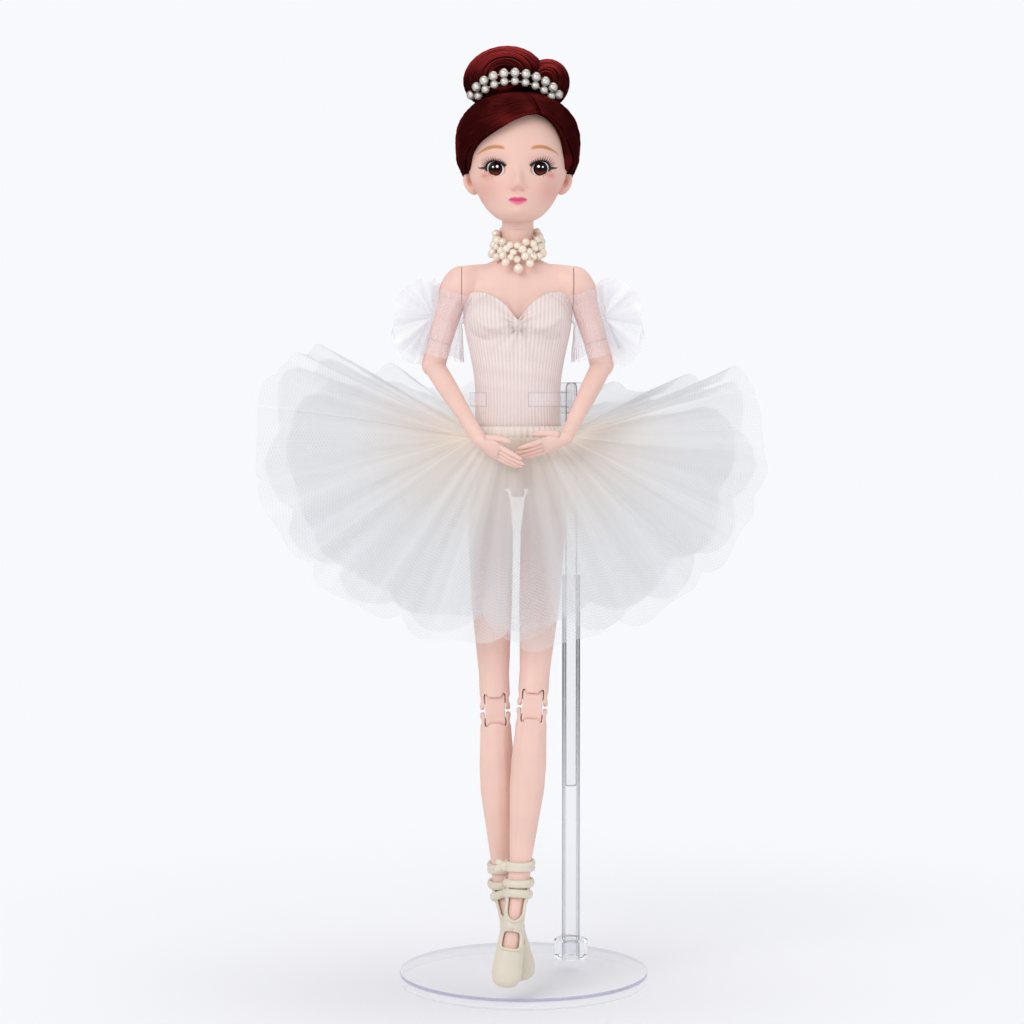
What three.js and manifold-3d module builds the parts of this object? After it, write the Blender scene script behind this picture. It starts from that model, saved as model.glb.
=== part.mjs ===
// Jointed ballerina doll in a tulle tutu, held by the waist on a clear telescopic stand.
// Sizes are in mm, +Z is up and the doll faces -Y. The origin is the centre of the stand's underside.
import * as THREE from "three";
import { mergeVertices } from "three/addons/utils/BufferGeometryUtils.js";
import Module from "manifold-3d";

const wasm = await Module();
wasm.setup();

// Running clearances and turned parts
const GAP = 0.3;
const PIN_RADIUS = 1.0;
const ROUND = 10;
const FINENESS = 0.14;

// Clear stand
const DISC_RADIUS = 41.5;
const DISC_THICKNESS = 4.0;
const SOCKET_RADIUS = 5.7;
const SOCKET_TOP = 10.6;
const TUBE_AT = [16.2, 17.3];
const TUBE_RADIUS = 3.1;
const TUBE_BORE = 2.3;
const TUBE_TOP = 135;
const ROD_RADIUS = 2.0;
const ROD_BOTTOM = 63;
const ROD_TOP = 200.5;
const ROD_TIP_RADIUS = 1.5;
const CLIP_COLLAR_RADIUS = 4.0;
const CLIP_COLLAR_BOTTOM = 190;
const CLIP_BOTTOM = 192.3;
const CLIP_HEIGHT = 4.8;
const CLIP_THICKNESS = 1.7;
const CLIP_MOUTH = [-10.3, 3.4];

// Doll's trunk, about its own upright axis
const DOLL_AT = [-2.0, 7.3];
const WAIST_JOINT_Z = 206;
const WAIST_BALL_RADIUS = 5.0;
const NECK_RADIUS = 5.3;
const NECK_TOP = 251.5;
const SHOULDER_X = 20.8;
const SHOULDER_Z = 232;
const SHOULDER_FACE_X = 19.2;
const SHOULDER_RADIUS = 5.7;
const HIP_X = 9.3;
const HIP_Z = 167;
const BODICE_TOP = 231;
const BODICE_BOTTOM = 183.5;
const BODICE_THICKNESS = 0.55;
const TUTU_Z = 184.5;

// Arms and legs, each measured from joint to joint
const UPPER_ARM = 27.0;
const FOREARM = { left: 34.3, right: 36.3 };
const ELBOW_SEAM = 18.6;
const ELBOW_RADIUS = 3.5;
const WRIST_RADIUS = 2.3;
const THIGH = 74.0;
const KNEE_LINK = 7.0;
const SHIN = 54.5;
// Height from hip to ankle that the rod's marks are set for.
const LEG_DROP = { left: 130.3902, right: 132.2714 };
const KNEE_RADIUS = 3.3;
const ANKLE_BALL_RADIUS = 2.0;
const ANKLE_RADIUS = 3.2;
const FOOT = { left: 33.6, right: 32.1 };

// Head
const HEAD_Z = 254;
const EYE_X = 7.4;
const EYE_Z = 16.2;
const EYE_RADIUS = 4.6;

// Pictured pose, in degrees
const POSE = {
  left: { swing: 6.6, raise: -16.1, twist: -36.7, elbow: -60.3, turn: 107.6, wrist: 51.8,
    hip: -20.95, spread: 3.93, knee: 9.05, point: -12.3, roll: 3.95 },
  right: { swing: 6.6, raise: 16.1, twist: 41.1, elbow: -62.6, turn: -112.8, wrist: 26.8,
    hip: -16.74, spread: -1.9, knee: 9.4, point: -18.1, roll: -10.9 },
};

const COLOURS = {
  skin: 0xf3cdbd, clear: 0xf0f2f6, hair: 0x4a1712, pearl: 0xf2ebdf, bodice: 0xf1e6e4,
  tulle: 0xecebea, shoe: 0xe2ddd2, lash: 0x2a1a18, eye: 0x4a2a20, vinyl: 0xf6d3c3,
};
const rad = THREE.MathUtils.degToRad;

// Solid of a three.js geometry, welded into one closed surface.
function solid(geometry) {
  const bare = new THREE.BufferGeometry();
  const source = geometry.index ? geometry.toNonIndexed() : geometry;
  bare.setAttribute("position", source.getAttribute("position").clone());
  const welded = mergeVertices(bare, 1e-4);
  return new wasm.Manifold(new wasm.Mesh({
    numProp: 3,
    vertProperties: new Float32Array(welded.attributes.position.array),
    triVerts: new Uint32Array(welded.index.array),
  }));
}

function geometryOf(made, fineness) {
  const mesh = made.simplify(fineness).getMesh();
  const geometry = new THREE.BufferGeometry();
  geometry.setAttribute("position", new THREE.BufferAttribute(mesh.vertProperties.slice(), 3));
  geometry.setIndex(new THREE.BufferAttribute(mesh.triVerts.slice(), 1));
  return geometry;
}

const joined = (...pieces) => pieces.reduce((whole, piece) => whole.add(piece));
const cut = (whole, ...tools) => tools.reduce((rest, tool) => rest.subtract(tool), whole);

function box(size, centre) {
  return solid(new THREE.BoxGeometry(...size).translate(...centre));
}

function ball(radius, centre = [0, 0, 0], scale = [1, 1, 1], segments = 11) {
  const geometry = new THREE.SphereGeometry(radius, segments, Math.round(segments * 0.6));
  return solid(geometry.rotateX(Math.PI / 2).scale(...scale).translate(...centre));
}

// Upright cylinder or cone between two heights.
function post(radius, low, high, centre = [0, 0], top = radius, segments = ROUND) {
  const geometry = new THREE.CylinderGeometry(top, radius, high - low, segments);
  return solid(geometry.rotateX(Math.PI / 2).translate(centre[0], centre[1], (low + high) / 2));
}

// Cylinder lying along X or Y, centred on a point.
function axle(radius, length, centre = [0, 0, 0], along = "x", segments = ROUND) {
  const geometry = new THREE.CylinderGeometry(radius, radius, length, segments);
  if (along === "x") geometry.rotateZ(Math.PI / 2);
  return solid(geometry.translate(...centre));
}

// Value of a smooth curve through [height, value, ...] stations.
function stationAt(stations, z) {
  const rows = stations.length;
  let i = 0;
  while (i < rows - 2 && (z - stations[i + 1][0]) * Math.sign(stations[rows - 1][0] - stations[0][0]) > 0) i += 1;
  const [a, b] = [stations[i], stations[i + 1]];
  const before = stations[Math.max(i - 1, 0)];
  const after = stations[Math.min(i + 2, rows - 1)];
  const span = b[0] - a[0];
  const t = THREE.MathUtils.clamp((z - a[0]) / span, 0, 1);
  return a.map((from, k) => {
    const into = (span * (b[k] - before[k])) / (b[0] - before[0]);
    const out = (span * (after[k] - a[k])) / (after[0] - a[0]);
    const t2 = t * t;
    const t3 = t2 * t;
    return (2 * t3 - 3 * t2 + 1) * from + (t3 - 2 * t2 + t) * into
      + (3 * t2 - 2 * t3) * b[k] + (t3 - t2) * out;
  });
}

// Rounded body through stations [z, half width, half depth, x, y], as a stretched cylinder.
function loft(sections, { segments = 12, rows = 8, grow = 0, fullness = 1 } = {}) {
  const stations = sections.map(([z, width, depth, x = 0, y = 0]) => [z, width, depth, x, y]);
  const geometry = new THREE.CylinderGeometry(1, 1, 1, segments, rows).rotateX(Math.PI / 2);
  const place = geometry.getAttribute("position");
  const first = stations[0][0];
  const last = stations[stations.length - 1][0];
  for (let i = 0; i < place.count; i += 1) {
    const z = first + (last - first) * (0.5 - place.getZ(i));
    const [, width, depth, x, y] = stationAt(stations, z);
    const [c, s] = [place.getX(i), place.getY(i)];
    const shape = (v) => Math.sign(v) * Math.abs(v) ** fullness;
    place.setXYZ(i, x + (width + grow) * shape(c), y + (depth + grow) * shape(s), z);
  }
  if (last > first) geometry.index.array.reverse();
  return solid(geometry);
}

const root = new THREE.Group();
root.name = "ballerina_doll";

function mesh(name, made, colour, parent = root, fineness = FINENESS) {
  const geometry = geometryOf(made, fineness);
  const material = new THREE.MeshStandardMaterial({ color: COLOURS[colour] });
  const node = new THREE.Mesh(geometry, material);
  node.name = name;
  parent.add(node);
  return node;
}

// Joint: a nested group at the pivot, turned to its pictured angle.
function joint(name, parent, at, axis, degrees) {
  const group = new THREE.Group();
  group.name = name;
  group.position.set(...at);
  group.userData.axis = axis;
  group.setRotationFromAxisAngle(new THREE.Vector3(...axis), rad(degrees));
  parent.add(group);
  return group;
}

// clear stand
const [tubeX, tubeY] = TUBE_AT;
const disc = new THREE.LatheGeometry([
  [0, 0], [DISC_RADIUS - 0.6, 0], [DISC_RADIUS, 0.6], [DISC_RADIUS, DISC_THICKNESS - 0.8],
  [DISC_RADIUS - 0.8, DISC_THICKNESS], [0, DISC_THICKNESS],
].map(([r, z]) => new THREE.Vector2(r, z)), 44).rotateX(Math.PI / 2);
mesh("stand_base", solid(disc), "clear");

const socket = joined(
  post(SOCKET_RADIUS, DISC_THICKNESS, DISC_THICKNESS + 3.4, TUBE_AT, SOCKET_RADIUS, 32),
  post(SOCKET_RADIUS - 0.7, DISC_THICKNESS + 3, SOCKET_TOP, TUBE_AT, SOCKET_RADIUS - 1.1, 32),
);
mesh("stand_socket", cut(socket, post(TUBE_RADIUS, 0, SOCKET_TOP + 1, TUBE_AT, TUBE_RADIUS, 32)), "clear");
mesh("stand_tube", cut(
  post(TUBE_RADIUS, DISC_THICKNESS, TUBE_TOP, TUBE_AT, TUBE_RADIUS, 32),
  post(TUBE_BORE, DISC_THICKNESS + 2, TUBE_TOP + 1, TUBE_AT, TUBE_BORE, 32),
), "clear");

// The rod is drawn out of its tube until the longer leg hangs with its toe just off the disc.
const legDrop = ({ hip, knee }) => THIGH * Math.cos(rad(hip)) + KNEE_LINK * Math.cos(rad(hip + knee))
  + SHIN * Math.cos(rad(hip + 2 * knee));
const rodLift = Math.max(legDrop(POSE.left) - LEG_DROP.left, legDrop(POSE.right) - LEG_DROP.right);
const rodSlide = joint("rod_slide", root, [tubeX, tubeY, rodLift], [0, 0, 1], 0);
mesh("stand_rod", joined(
  post(ROD_RADIUS, ROD_BOTTOM, CLIP_COLLAR_BOTTOM - GAP, [0, 0], ROD_RADIUS, 24),
  post(ROD_TIP_RADIUS, ROD_BOTTOM + 1, ROD_TOP, [0, 0], ROD_TIP_RADIUS, 24),
), "clear", rodSlide);

// Waist outline that the clip and the bodice follow: [z, half width, half depth, x, y]
const TRUNK = [
  [172, 13.6, 10.6, 0, 1], [178, 14.4, 10.6, 0, 1], [186, 13.6, 9.6, 0, 0.6],
  [194, 13.3, 9.0, 0, 0.2], [201, 13.6, 9.2, 0, 0], [208.6, 14.8, 9.8, 0, 0],
  [216, 16.4, 10.6, 0, 0], [222, 17.3, 10.6, 0, 0.3], [228, 17.4, 9.4, 0, 0.8],
  [234, 17.6, 7.6, 0, 1], [237.5, 15.5, 6.6, 0, 1], [240.5, 9, 5.8, 0, 1.2], [242.5, 5.4, 5.2, 0, 1.2],
];
const between = (low, high) => [
  [low, ...stationAt(TRUNK, low).slice(1)],
  ...TRUNK.filter(([z]) => z > low + 0.6 && z < high - 0.6),
  [high, ...stationAt(TRUNK, high).slice(1)],
];

const clipSwivel = joint("clip_swivel", rodSlide, [0, 0, 0], [0, 0, 1], 0);
const hips = new THREE.Group();
hips.name = "hips";
hips.position.set(DOLL_AT[0] - tubeX, DOLL_AT[1] - tubeY, 0);
clipSwivel.add(hips);

const clipTop = CLIP_BOTTOM + CLIP_HEIGHT;
const waistRing = (grow, low, high) => loft(between(low, high), { segments: 40, rows: 2, grow });
const clipInner = BODICE_THICKNESS + 2 * GAP;
const rodFromDoll = [tubeX - DOLL_AT[0], tubeY - DOLL_AT[1]];
const collar = joined(
  waistRing(clipInner + CLIP_THICKNESS, CLIP_BOTTOM, clipTop),
  post(CLIP_COLLAR_RADIUS, CLIP_COLLAR_BOTTOM, ROD_TOP, rodFromDoll, CLIP_COLLAR_RADIUS, 28),
  box([11, 4, CLIP_HEIGHT], [rodFromDoll[0] - 6, rodFromDoll[1] - 2, CLIP_BOTTOM + CLIP_HEIGHT / 2]),
);
const mouthWidth = CLIP_MOUTH[1] - CLIP_MOUTH[0];
mesh("waist_clip", cut(
  collar,
  waistRing(clipInner, CLIP_BOTTOM - 1, clipTop + 1),
  post(ROD_TIP_RADIUS + GAP, CLIP_COLLAR_BOTTOM - 1, ROD_TOP + 1, rodFromDoll),
  box([mouthWidth, 14, 12], [(CLIP_MOUTH[0] + CLIP_MOUTH[1]) / 2, -12, CLIP_BOTTOM + 2]),
), "clear", hips);

// trunk
const hipSocket = (side) => axle(2.4 + GAP, 9, [side * (HIP_X - 5), 0, HIP_Z]);
const hipWell = (side) => axle(8.6, 14.4, [side * (HIP_X + 0.1), 0, HIP_Z], "x", 14);
const pelvisBody = joined(
  loft(between(172, WAIST_JOINT_Z - 2.2), { segments: 20, rows: 5 }),
  loft([[173, 13.4, 10.5, 0, 1], [168, 12.4, 9.8, 0, 1.2], [165, 9, 7.6, 0, 1], [162, 3.5, 3.6, 0, 0.5]],
    { segments: 20, rows: 3 }),
);
mesh("pelvis", cut(
  pelvisBody,
  ball(WAIST_BALL_RADIUS + GAP, [0, 0, WAIST_JOINT_Z - 5]),
  hipWell(1), hipWell(-1), hipSocket(1), hipSocket(-1),
), "skin", hips);

const waist = joint("waist_turn", hips, [0, 0, 0], [0, 0, 1], 0);
const bust = (side) => ball(1, [side * 7.4, -5.4, 221.5], [8.2, 7.2, 7.4]);
const shoulderBore = (side) => axle(3.2 + GAP, 9.4, [side * (SHOULDER_FACE_X - 3), 0, SHOULDER_Z]);
const chest = joined(
  loft(between(WAIST_JOINT_Z - 1.9, 242.5), { segments: 18, rows: 9 }),
  loft([[230, 17.6, 7.8, 0, 1], [232.3, 19.0, 6.6, 0, 0.6], [236.2, 18.6, 5.2, 0, 0.6], [239, 13, 5, 0, 1]],
    { segments: 28, rows: 4, fullness: 0.8 }),
  bust(1), bust(-1),
  ball(WAIST_BALL_RADIUS, [0, 0, WAIST_JOINT_Z - 5]),
  post(2.6, WAIST_JOINT_Z - 5, WAIST_JOINT_Z),
  loft([[238, 6.6, 6.0, 0, 1.2], [242, 5.4, 5.3, 0, 1], [247, 5.1, 5.1, 0, 0.8],
    [NECK_TOP, NECK_RADIUS, NECK_RADIUS, 0, 0.6]], { rows: 6 }),
);
const neckBore = post(1.4 + GAP, NECK_TOP - 8, NECK_TOP + 1, [0, 0.6]);
const shoulderSide = (side) => box([12, 40, 20], [side * (SHOULDER_FACE_X + 6 - GAP / 2), 0, SHOULDER_Z + 1]);
mesh("chest", cut(chest, neckBore, shoulderSide(1), shoulderSide(-1), shoulderBore(1), shoulderBore(-1)), "skin", waist);

// hinges shared by arms and legs
// Fork end at the origin: round cheeks about X with a slot for the other half's tongue.
function forkEnd(body, radius, tongue, { reach = 30, arch = radius } = {}) {
  const rounded = joined(body.intersect(box([40, 40, reach], [0, 0, reach / 2])),
    body.intersect(axle(radius, 40, [0, 0, 0], "x", 12)));
  return cut(rounded,
    axle(arch + GAP, tongue + 2 * GAP, [0, 0, 0], "x", 12),
    box([tongue + 2 * GAP, 40, 20], [0, 0, -10]),
    axle(PIN_RADIUS + GAP / 2, 40));
}

// Tongue end at the origin: a disc with its cross pin, joined to a body that starts below it.
function tongueEnd(body, radius, tongue, across, neck = radius - 0.4) {
  return joined(
    cut(body, axle(radius + 2 * GAP, 60, [0, 0, 0], "x", 12)),
    axle(radius - 0.1, tongue, [0, 0, 0], "x", 12),
    box([tongue, 2 * neck, radius + 2.4], [0, 0, -(radius + 2.4) / 2]),
    axle(PIN_RADIUS - 0.1, across),
  );
}

// arms
const hand = {};
function arm(side, sign) {
  const pose = POSE[side];
  const reach = FOREARM[side];
  const swing = joint(`${side}_shoulder_swing`, waist, [sign * SHOULDER_X, 0, SHOULDER_Z], [1, 0, 0], pose.swing);
  const inner = SHOULDER_FACE_X - SHOULDER_X;
  const cap = joined(
    cut(ball(SHOULDER_RADIUS, [0, 0, 0], [1, 1, 1], 13), box([10, 20, 20], [sign * (inner - 5 + GAP / 2), 0, 0])),
    axle(3.2, 5.6, [sign * (inner - 2.4), 0, 0]),
  );
  mesh(`${side}_shoulder_cap`, cut(cap,
    axle(2.6 + GAP, 2.0 + 2 * GAP, [0, 0, 0], "y", 12),
    box([11, 2.0 + 2 * GAP, 20], [sign * 3.7, 0, -10]),
    box([10, 2.0 + 2 * GAP, 9], [sign * 6.4, 0, -1.5]),
    axle(PIN_RADIUS + GAP / 2, 20, [0, 0, 0], "y"),
  ), "skin", swing);

  const raise = joint(`${side}_shoulder_raise`, swing, [0, 0, 0], [0, 1, 0], pose.raise);
  const upper = cut(
    loft([[-1, 3.0, 3.4], [-6, 3.7, 3.9], [-12, 3.5, 3.6], [-ELBOW_SEAM, 3.2, 3.3]], { rows: 6 }),
    ball(SHOULDER_RADIUS + GAP, [0, 0, 0], [1, 1, 1], 13),
    post(1.5 + GAP, -ELBOW_SEAM - 1, -ELBOW_SEAM + 4.4),
  );
  mesh(`${side}_upper_arm`, joined(upper,
    axle(2.6, 2.0, [0, 0, 0], "y", 12),
    box([4.4, 2.0, 9.4], [0, 0, -4.7]),
    axle(PIN_RADIUS - 0.1, 2 * SHOULDER_RADIUS - 1.2, [0, 0, 0], "y"),
  ), "skin", raise);

  const twist = joint(`${side}_elbow_turn`, raise, [0, 0, 0], [0, 0, 1], pose.twist);
  const fork = forkEnd(
    loft([[ELBOW_RADIUS + UPPER_ARM - ELBOW_SEAM - 3.8, 3.2, 3.3], [3, 3.4, 3.5], [0, 3.5, 3.5], [-3.6, 3.4, 3.4]],
      { rows: 6 }), ELBOW_RADIUS, 3.0, { arch: 3.7 });
  mesh(`${side}_elbow`, joined(fork, post(1.5, 3.9, UPPER_ARM - ELBOW_SEAM + 3.6))
    .translate([0, 0, -UPPER_ARM]), "skin", twist);

  const elbow = joint(`${side}_elbow_bend`, twist, [0, 0, -UPPER_ARM], [1, 0, 0], pose.elbow);
  const forearm = tongueEnd(
    loft([[-0.5, 3.2, 2.4], [-4.5, 3.3, 2.9], [-9, 3.4, 3.5], [-18, 3.0, 3.0], [-reach + 6, 2.3, 2.4],
      [-reach + 2.8, 2.3, 2.4]], { rows: 6 }), ELBOW_RADIUS, 3.0, 6.4, 2.6);
  mesh(`${side}_forearm`, cut(forearm, post(1.1 + GAP, -reach, -reach + 7.2)), "skin", elbow);

  const turn = joint(`${side}_wrist_turn`, elbow, [0, 0, -reach], [0, 0, 1], pose.turn);
  mesh(`${side}_wrist`, joined(
    post(1.1, 1, 6.9),
    axle(1.6, 2.0, [0, 0, 0]),
    box([2.0, 1.8, 1.6], [0, 0, 1.2]),
    axle(0.6, 4.6),
  ), "skin", turn);
  hand[side] = joint(`${side}_wrist_bend`, turn, [0, 0, 0], [1, 0, 0], pose.wrist);
}
arm("left", 1);
arm("right", -1);

// Rod with round ends between two points.
function capsule(from, to, radius, segments = 6) {
  const [a, b] = [new THREE.Vector3(...from), new THREE.Vector3(...to)];
  const along = b.clone().sub(a);
  const geometry = new THREE.CapsuleGeometry(radius, along.length(), segments > 4 ? 2 : 1, segments);
  geometry.applyQuaternion(new THREE.Quaternion().setFromUnitVectors(
    new THREE.Vector3(0, 1, 0), along.clone().normalize()));
  return solid(geometry.translate(...a.add(b).multiplyScalar(0.5).toArray()));
}

// hands: fingers run down -Z, the palm faces +Y and the thumb is on the inner side
const FINGERS = [[2.35, 9.4, 0.72], [0.8, 10.6, 0.76], [-0.8, 10.1, 0.74], [-2.35, 8.2, 0.66]];
for (const [side, sign] of [["left", 1], ["right", -1]]) {
  const thumb = -sign;
  const heel = loft([[2.2, 2.6, 1.7], [0, 2.9, 1.7], [-3, 3.0, 1.5], [-6, 3.3, 1.35], [-8.4, 3.1, 1.0]],
    { segments: 10, rows: 5, fullness: 0.8 });
  const fingers = FINGERS.map(([x, length, radius], i) => {
    const knuckle = [thumb * x, 0.1, -7.2];
    const tip = [thumb * x * 0.8, 1.0 + 0.2 * i, -7.2 - length];
    return capsule(knuckle, tip, radius);
  });
  const palm = joined(
    cut(joined(heel.intersect(axle(WRIST_RADIUS, 20)), heel.intersect(box([20, 20, 20], [0, 0, -10.4]))),
      axle(1.8 + GAP, 2.0 + 2 * GAP), box([2.0 + 2 * GAP, 20, 10], [0, 0, 5]), axle(0.6 + GAP / 2, 20)),
    capsule([thumb * 2.6, 0.8, -3.4], [thumb * 4.1, 1.7, -6.6], 0.95),
    capsule([thumb * 4.1, 1.7, -6.6], [thumb * 4.4, 2.3, -9.6], 0.8),
    ...fingers,
  );
  mesh(`${side}_hand`, palm, "skin", hand[side], 0.2);
}

// legs
function leg(side, sign) {
  const pose = POSE[side];
  const swing = joint(`${side}_hip_swing`, hips, [sign * HIP_X, 0, HIP_Z], [1, 0, 0], pose.hip);
  mesh(`${side}_hip`, joined(
    axle(2.4, 4.4, [-sign * 6.6, 0, 0]),
    axle(3.0, 3.0, [0, 0, 0], "y"),
    box([5.0, 3.0, 3.0], [-sign * 2.4, 0, 0]),
    axle(PIN_RADIUS, 7.0, [0, 0, 0], "y"),
  ), "skin", swing);

  const spread = joint(`${side}_hip_spread`, swing, [0, 0, 0], [0, 1, 0], pose.spread);
  const thighBody = cut(
    loft([[5.6, 2.6, 3.2], [3, 4.8, 5.1], [0, 5.8, 6.1], [-4, 6.4, 6.8], [-9, 6.9, 7.3], [-20, 6.9, 7.3], [-38, 5.9, 6.1],
      [-56, 4.7, 5.0], [-66, 4.2, 4.4], [-THIGH - 3.4, 4.3, 3.7]], { segments: 13, rows: 7 }),
    axle(3.0 + GAP, 3.0 + 2 * GAP, [0, 0, 0], "y"),
    box([12, 3.0 + 2 * GAP, 2 * (3.0 + GAP)], [-sign * 6, 0, 0]),
    box([12, 3.0 + 2 * GAP, 8], [-sign * 6.6, 0, 3]),
    axle(PIN_RADIUS + GAP, 20, [0, 0, 0], "y"),
    box([6, 20, 9], [-sign * 7.0, 0, 1.5]),
  ).translate([0, 0, THIGH]);
  const thigh = forkEnd(thighBody, KNEE_RADIUS, 5.2, { reach: 90, arch: 3.0 })
    .translate([0, 0, -THIGH]);
  mesh(`${side}_thigh`, thigh, "skin", spread, 0.2);

  const knee = joint(`${side}_knee_upper`, spread, [0, 0, -THIGH], [1, 0, 0], pose.knee);
  mesh(`${side}_knee_link`, joined(
    axle(2.7, 5.2, [0, 0, 0], "x", 12),
    axle(2.7, 5.2, [0, 0, -KNEE_LINK], "x", 12),
    box([5.2, 5.0, KNEE_LINK], [0, 0, -KNEE_LINK / 2]),
    axle(PIN_RADIUS - 0.1, 8.2),
    axle(PIN_RADIUS - 0.1, 8.2, [0, 0, -KNEE_LINK]),
  ), "skin", knee);

  const lower = joint(`${side}_knee_lower`, knee, [0, 0, -KNEE_LINK], [1, 0, 0], pose.knee);
  const shinBody = loft([[3.4, 4.3, 3.7], [0, 4.3, 3.9], [-4, 4.3, 4.4], [-12, 4.8, 5.0, 0, 0.5],
    [-20, 4.9, 5.2, 0, 0.8], [-32, 4.3, 4.5, 0, 0.5], [-44, 3.6, 3.7], [-SHIN + 4.6, 3.3, 3.3]],
    { segments: 13, rows: 6 });
  const turned = (made) => made.rotate([180, 0, 0]);
  const shin = joined(
    turned(forkEnd(turned(shinBody), KNEE_RADIUS, 5.2, { reach: 90, arch: 3.0 })),
    post(1.2, -SHIN, -SHIN + 5),
    ball(ANKLE_BALL_RADIUS, [0, 0, -SHIN], [1, 1, 1], 10),
  );
  mesh(`${side}_shin`, shin, "skin", lower, 0.2);

  const roll = new THREE.Group();
  roll.position.set(0, 0, -SHIN);
  roll.rotation.y = rad(pose.roll);
  lower.add(roll);
  const ankle = joint(`${side}_ankle`, roll, [0, 0, 0], [1, 0, 0], pose.point);
  const long = FOOT[side];
  const footCore = [[3.0, 1.6, 1.6], [1.6, 2.8, 2.8], [0, ANKLE_RADIUS, ANKLE_RADIUS], [-3, 3.1, 3.2, 0, 0.3],
    [-8, 2.9, 3.5, 0, 0.5], [-13, 3.1, 3.4, 0, 0.2], [-19, 3.4, 3.2, 0, 0], [-25, 3.4, 3.0, 0, 0],
    [-long + 2.2, 3.0, 2.6, 0, 0], [-long + 1.2, 2.2, 2.0, 0, 0]];
  const socketHole = joined(
    ball(ANKLE_BALL_RADIUS + GAP, [0, 0, 0], [1, 1, 1], 10),
    post(1.2 + GAP, 0, 4, [0, 0], 3.4),
  );
  const foot = loft(footCore, { segments: 11, rows: 7 });
  mesh(`${side}_foot`, cut(foot, socketHole), "skin", ankle);
  const shell = (grow) => loft(footCore, { segments: 11, rows: 7, grow });
  const toeCap = ball(1, [0, 0, -long + 2.2], [3.8, 3.4, 2.2], 10);
  const outer = joined(shell(GAP + 0.8), toeCap);
  const opening = joined(
    axle(1, 30, [0, 0, 0], "x", 10).scale([1, 3.2, 2.6]).translate([0, 1.0, -9.2]),
    ball(1, [0, -5.6, -12.6], [2.4, 4.2, 3.2], 8),
  );
  const shoe = cut(outer, shell(GAP), opening,
    ball(1, [0, 0, 4.6], [7, 7, 5.2], 10), post(1.2 + GAP, -1, 4, [0, 0], 3.6));
  const bands = [[-1.6, 4.1, 0.8]].map(([z, r, t]) => {
    const ring = new THREE.TorusGeometry(r, t, 4, 12).scale(1, 1.1, 1).translate(0, 0.6, z);
    return cut(solid(ring), shell(GAP));
  });
  mesh(`${side}_shoe`, joined(shoe, ...bands), "shoe", ankle, 0.2);
}
leg("left", 1);
leg("right", -1);

// head: a hollow soft shell with set-in eyes
const NECK_AXIS_Y = 0.6;
const headTurn = joint("head_turn", waist, [0, NECK_AXIS_Y, HEAD_Z], [0, 0, 1], 0);
mesh("neck_knob", joined(
  post(1.4, NECK_TOP - HEAD_Z - 7.5, 2, [0, 0]),
  ball(2.7, [0, 0, 2], [1, 1, 1], 12),
), "skin", headTurn);
const headNod = joint("head_nod", headTurn, [0, 0, 2], [1, 0, 0], 0);
const FACE = [
  [-1.9, 5.2, 6.6, 0, -5], [0, 8.2, 10.2, 0, -4.4], [4, 11.6, 13.4, 0, -3], [9, 14.2, 15.8, 0, -1.8],
  [15, 16.1, 17.4, 0, -1], [22, 16.8, 18.2, 0, -0.6], [29, 16.0, 17.4, 0, -0.4], [35, 13, 14.4, 0, 0],
  [39, 8.4, 9.6, 0, 0], [41.4, 2.4, 3, 0, 0],
].map(([z, ...rest]) => [z - 2, ...rest]);
const eyePlace = (side) => [side * EYE_X, -11.6, EYE_Z - 2];
const ear = (side) => ball(1, [side * 16.2, 1.6, 9.2], [2.2, 3.0, 4.6], 8);
const eyeHole = (side) => axle(1, 20, [0, 0, 0], "y", 12).scale([3.5, 1, 2.5])
  .translate([side * EYE_X, -20, EYE_Z - 2]);
const skull = joined(
  loft(FACE, { segments: 18, rows: 10 }), ear(1), ear(-1),
  ball(1, [0, -18.2, 7.4], [1.5, 1.6, 1.5], 8),
  ball(1, [0, -15.6, 2.2], [3.1, 1.8, 1.6], 8),
);
mesh("head", cut(skull,
  loft(FACE, { segments: 12, rows: 6, grow: -2.4 }).intersect(box([60, 60, 37], [0, 0, 18.2])),
  ball(2.8 + 2 * GAP, [0, 0, 0], [1, 1, 1], 10),
  post(2.9, -12, 2, [0, 0]),
  ball(EYE_RADIUS + GAP, eyePlace(1)), ball(EYE_RADIUS + GAP, eyePlace(-1)), eyeHole(1), eyeHole(-1),
), "vinyl", headNod, 0.25);
for (const [side, sign] of [["left", 1], ["right", -1]]) {
  mesh(`${side}_eye`, ball(EYE_RADIUS, eyePlace(sign), [1, 1, 1], 10), "eye", headNod);
}

// Sheet of even thickness over point(u, v), as a bent box.
function sheet(point, across, along, thickness) {
  const geometry = new THREE.BoxGeometry(1, 1, 1, across, along, 1);
  const place = geometry.getAttribute("position");
  const step = 1e-3;
  for (let i = 0; i < place.count; i += 1) {
    const [u, v, w] = [place.getX(i) + 0.5, place.getY(i) + 0.5, place.getZ(i)];
    const at = point(u, v);
    const du = point(u + step, v).sub(point(u - step, v));
    const dv = point(u, v + step).sub(point(u, v - step));
    at.addScaledVector(du.cross(dv).normalize(), w * thickness);
    place.setXYZ(i, at.x, at.y, at.z);
  }
  return solid(geometry);
}

for (const [side, sign] of [["left", 1], ["right", -1]]) {
  const lash = (u, v) => {
    const a = (0.12 + 0.76 * u) * Math.PI;
    return new THREE.Vector3(sign * EYE_X + 3.9 * Math.cos(a), -18.2 - 2.0 * v + 0.3 * (2 * u - 1) ** 2,
      EYE_Z - 2 + 0.3 + 2.5 * Math.sin(a) + 1.3 * v);
  };
  mesh(`${side}_eyelashes`, sheet(lash, 10, 2, 0.25), "lash", headNod);
}

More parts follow.
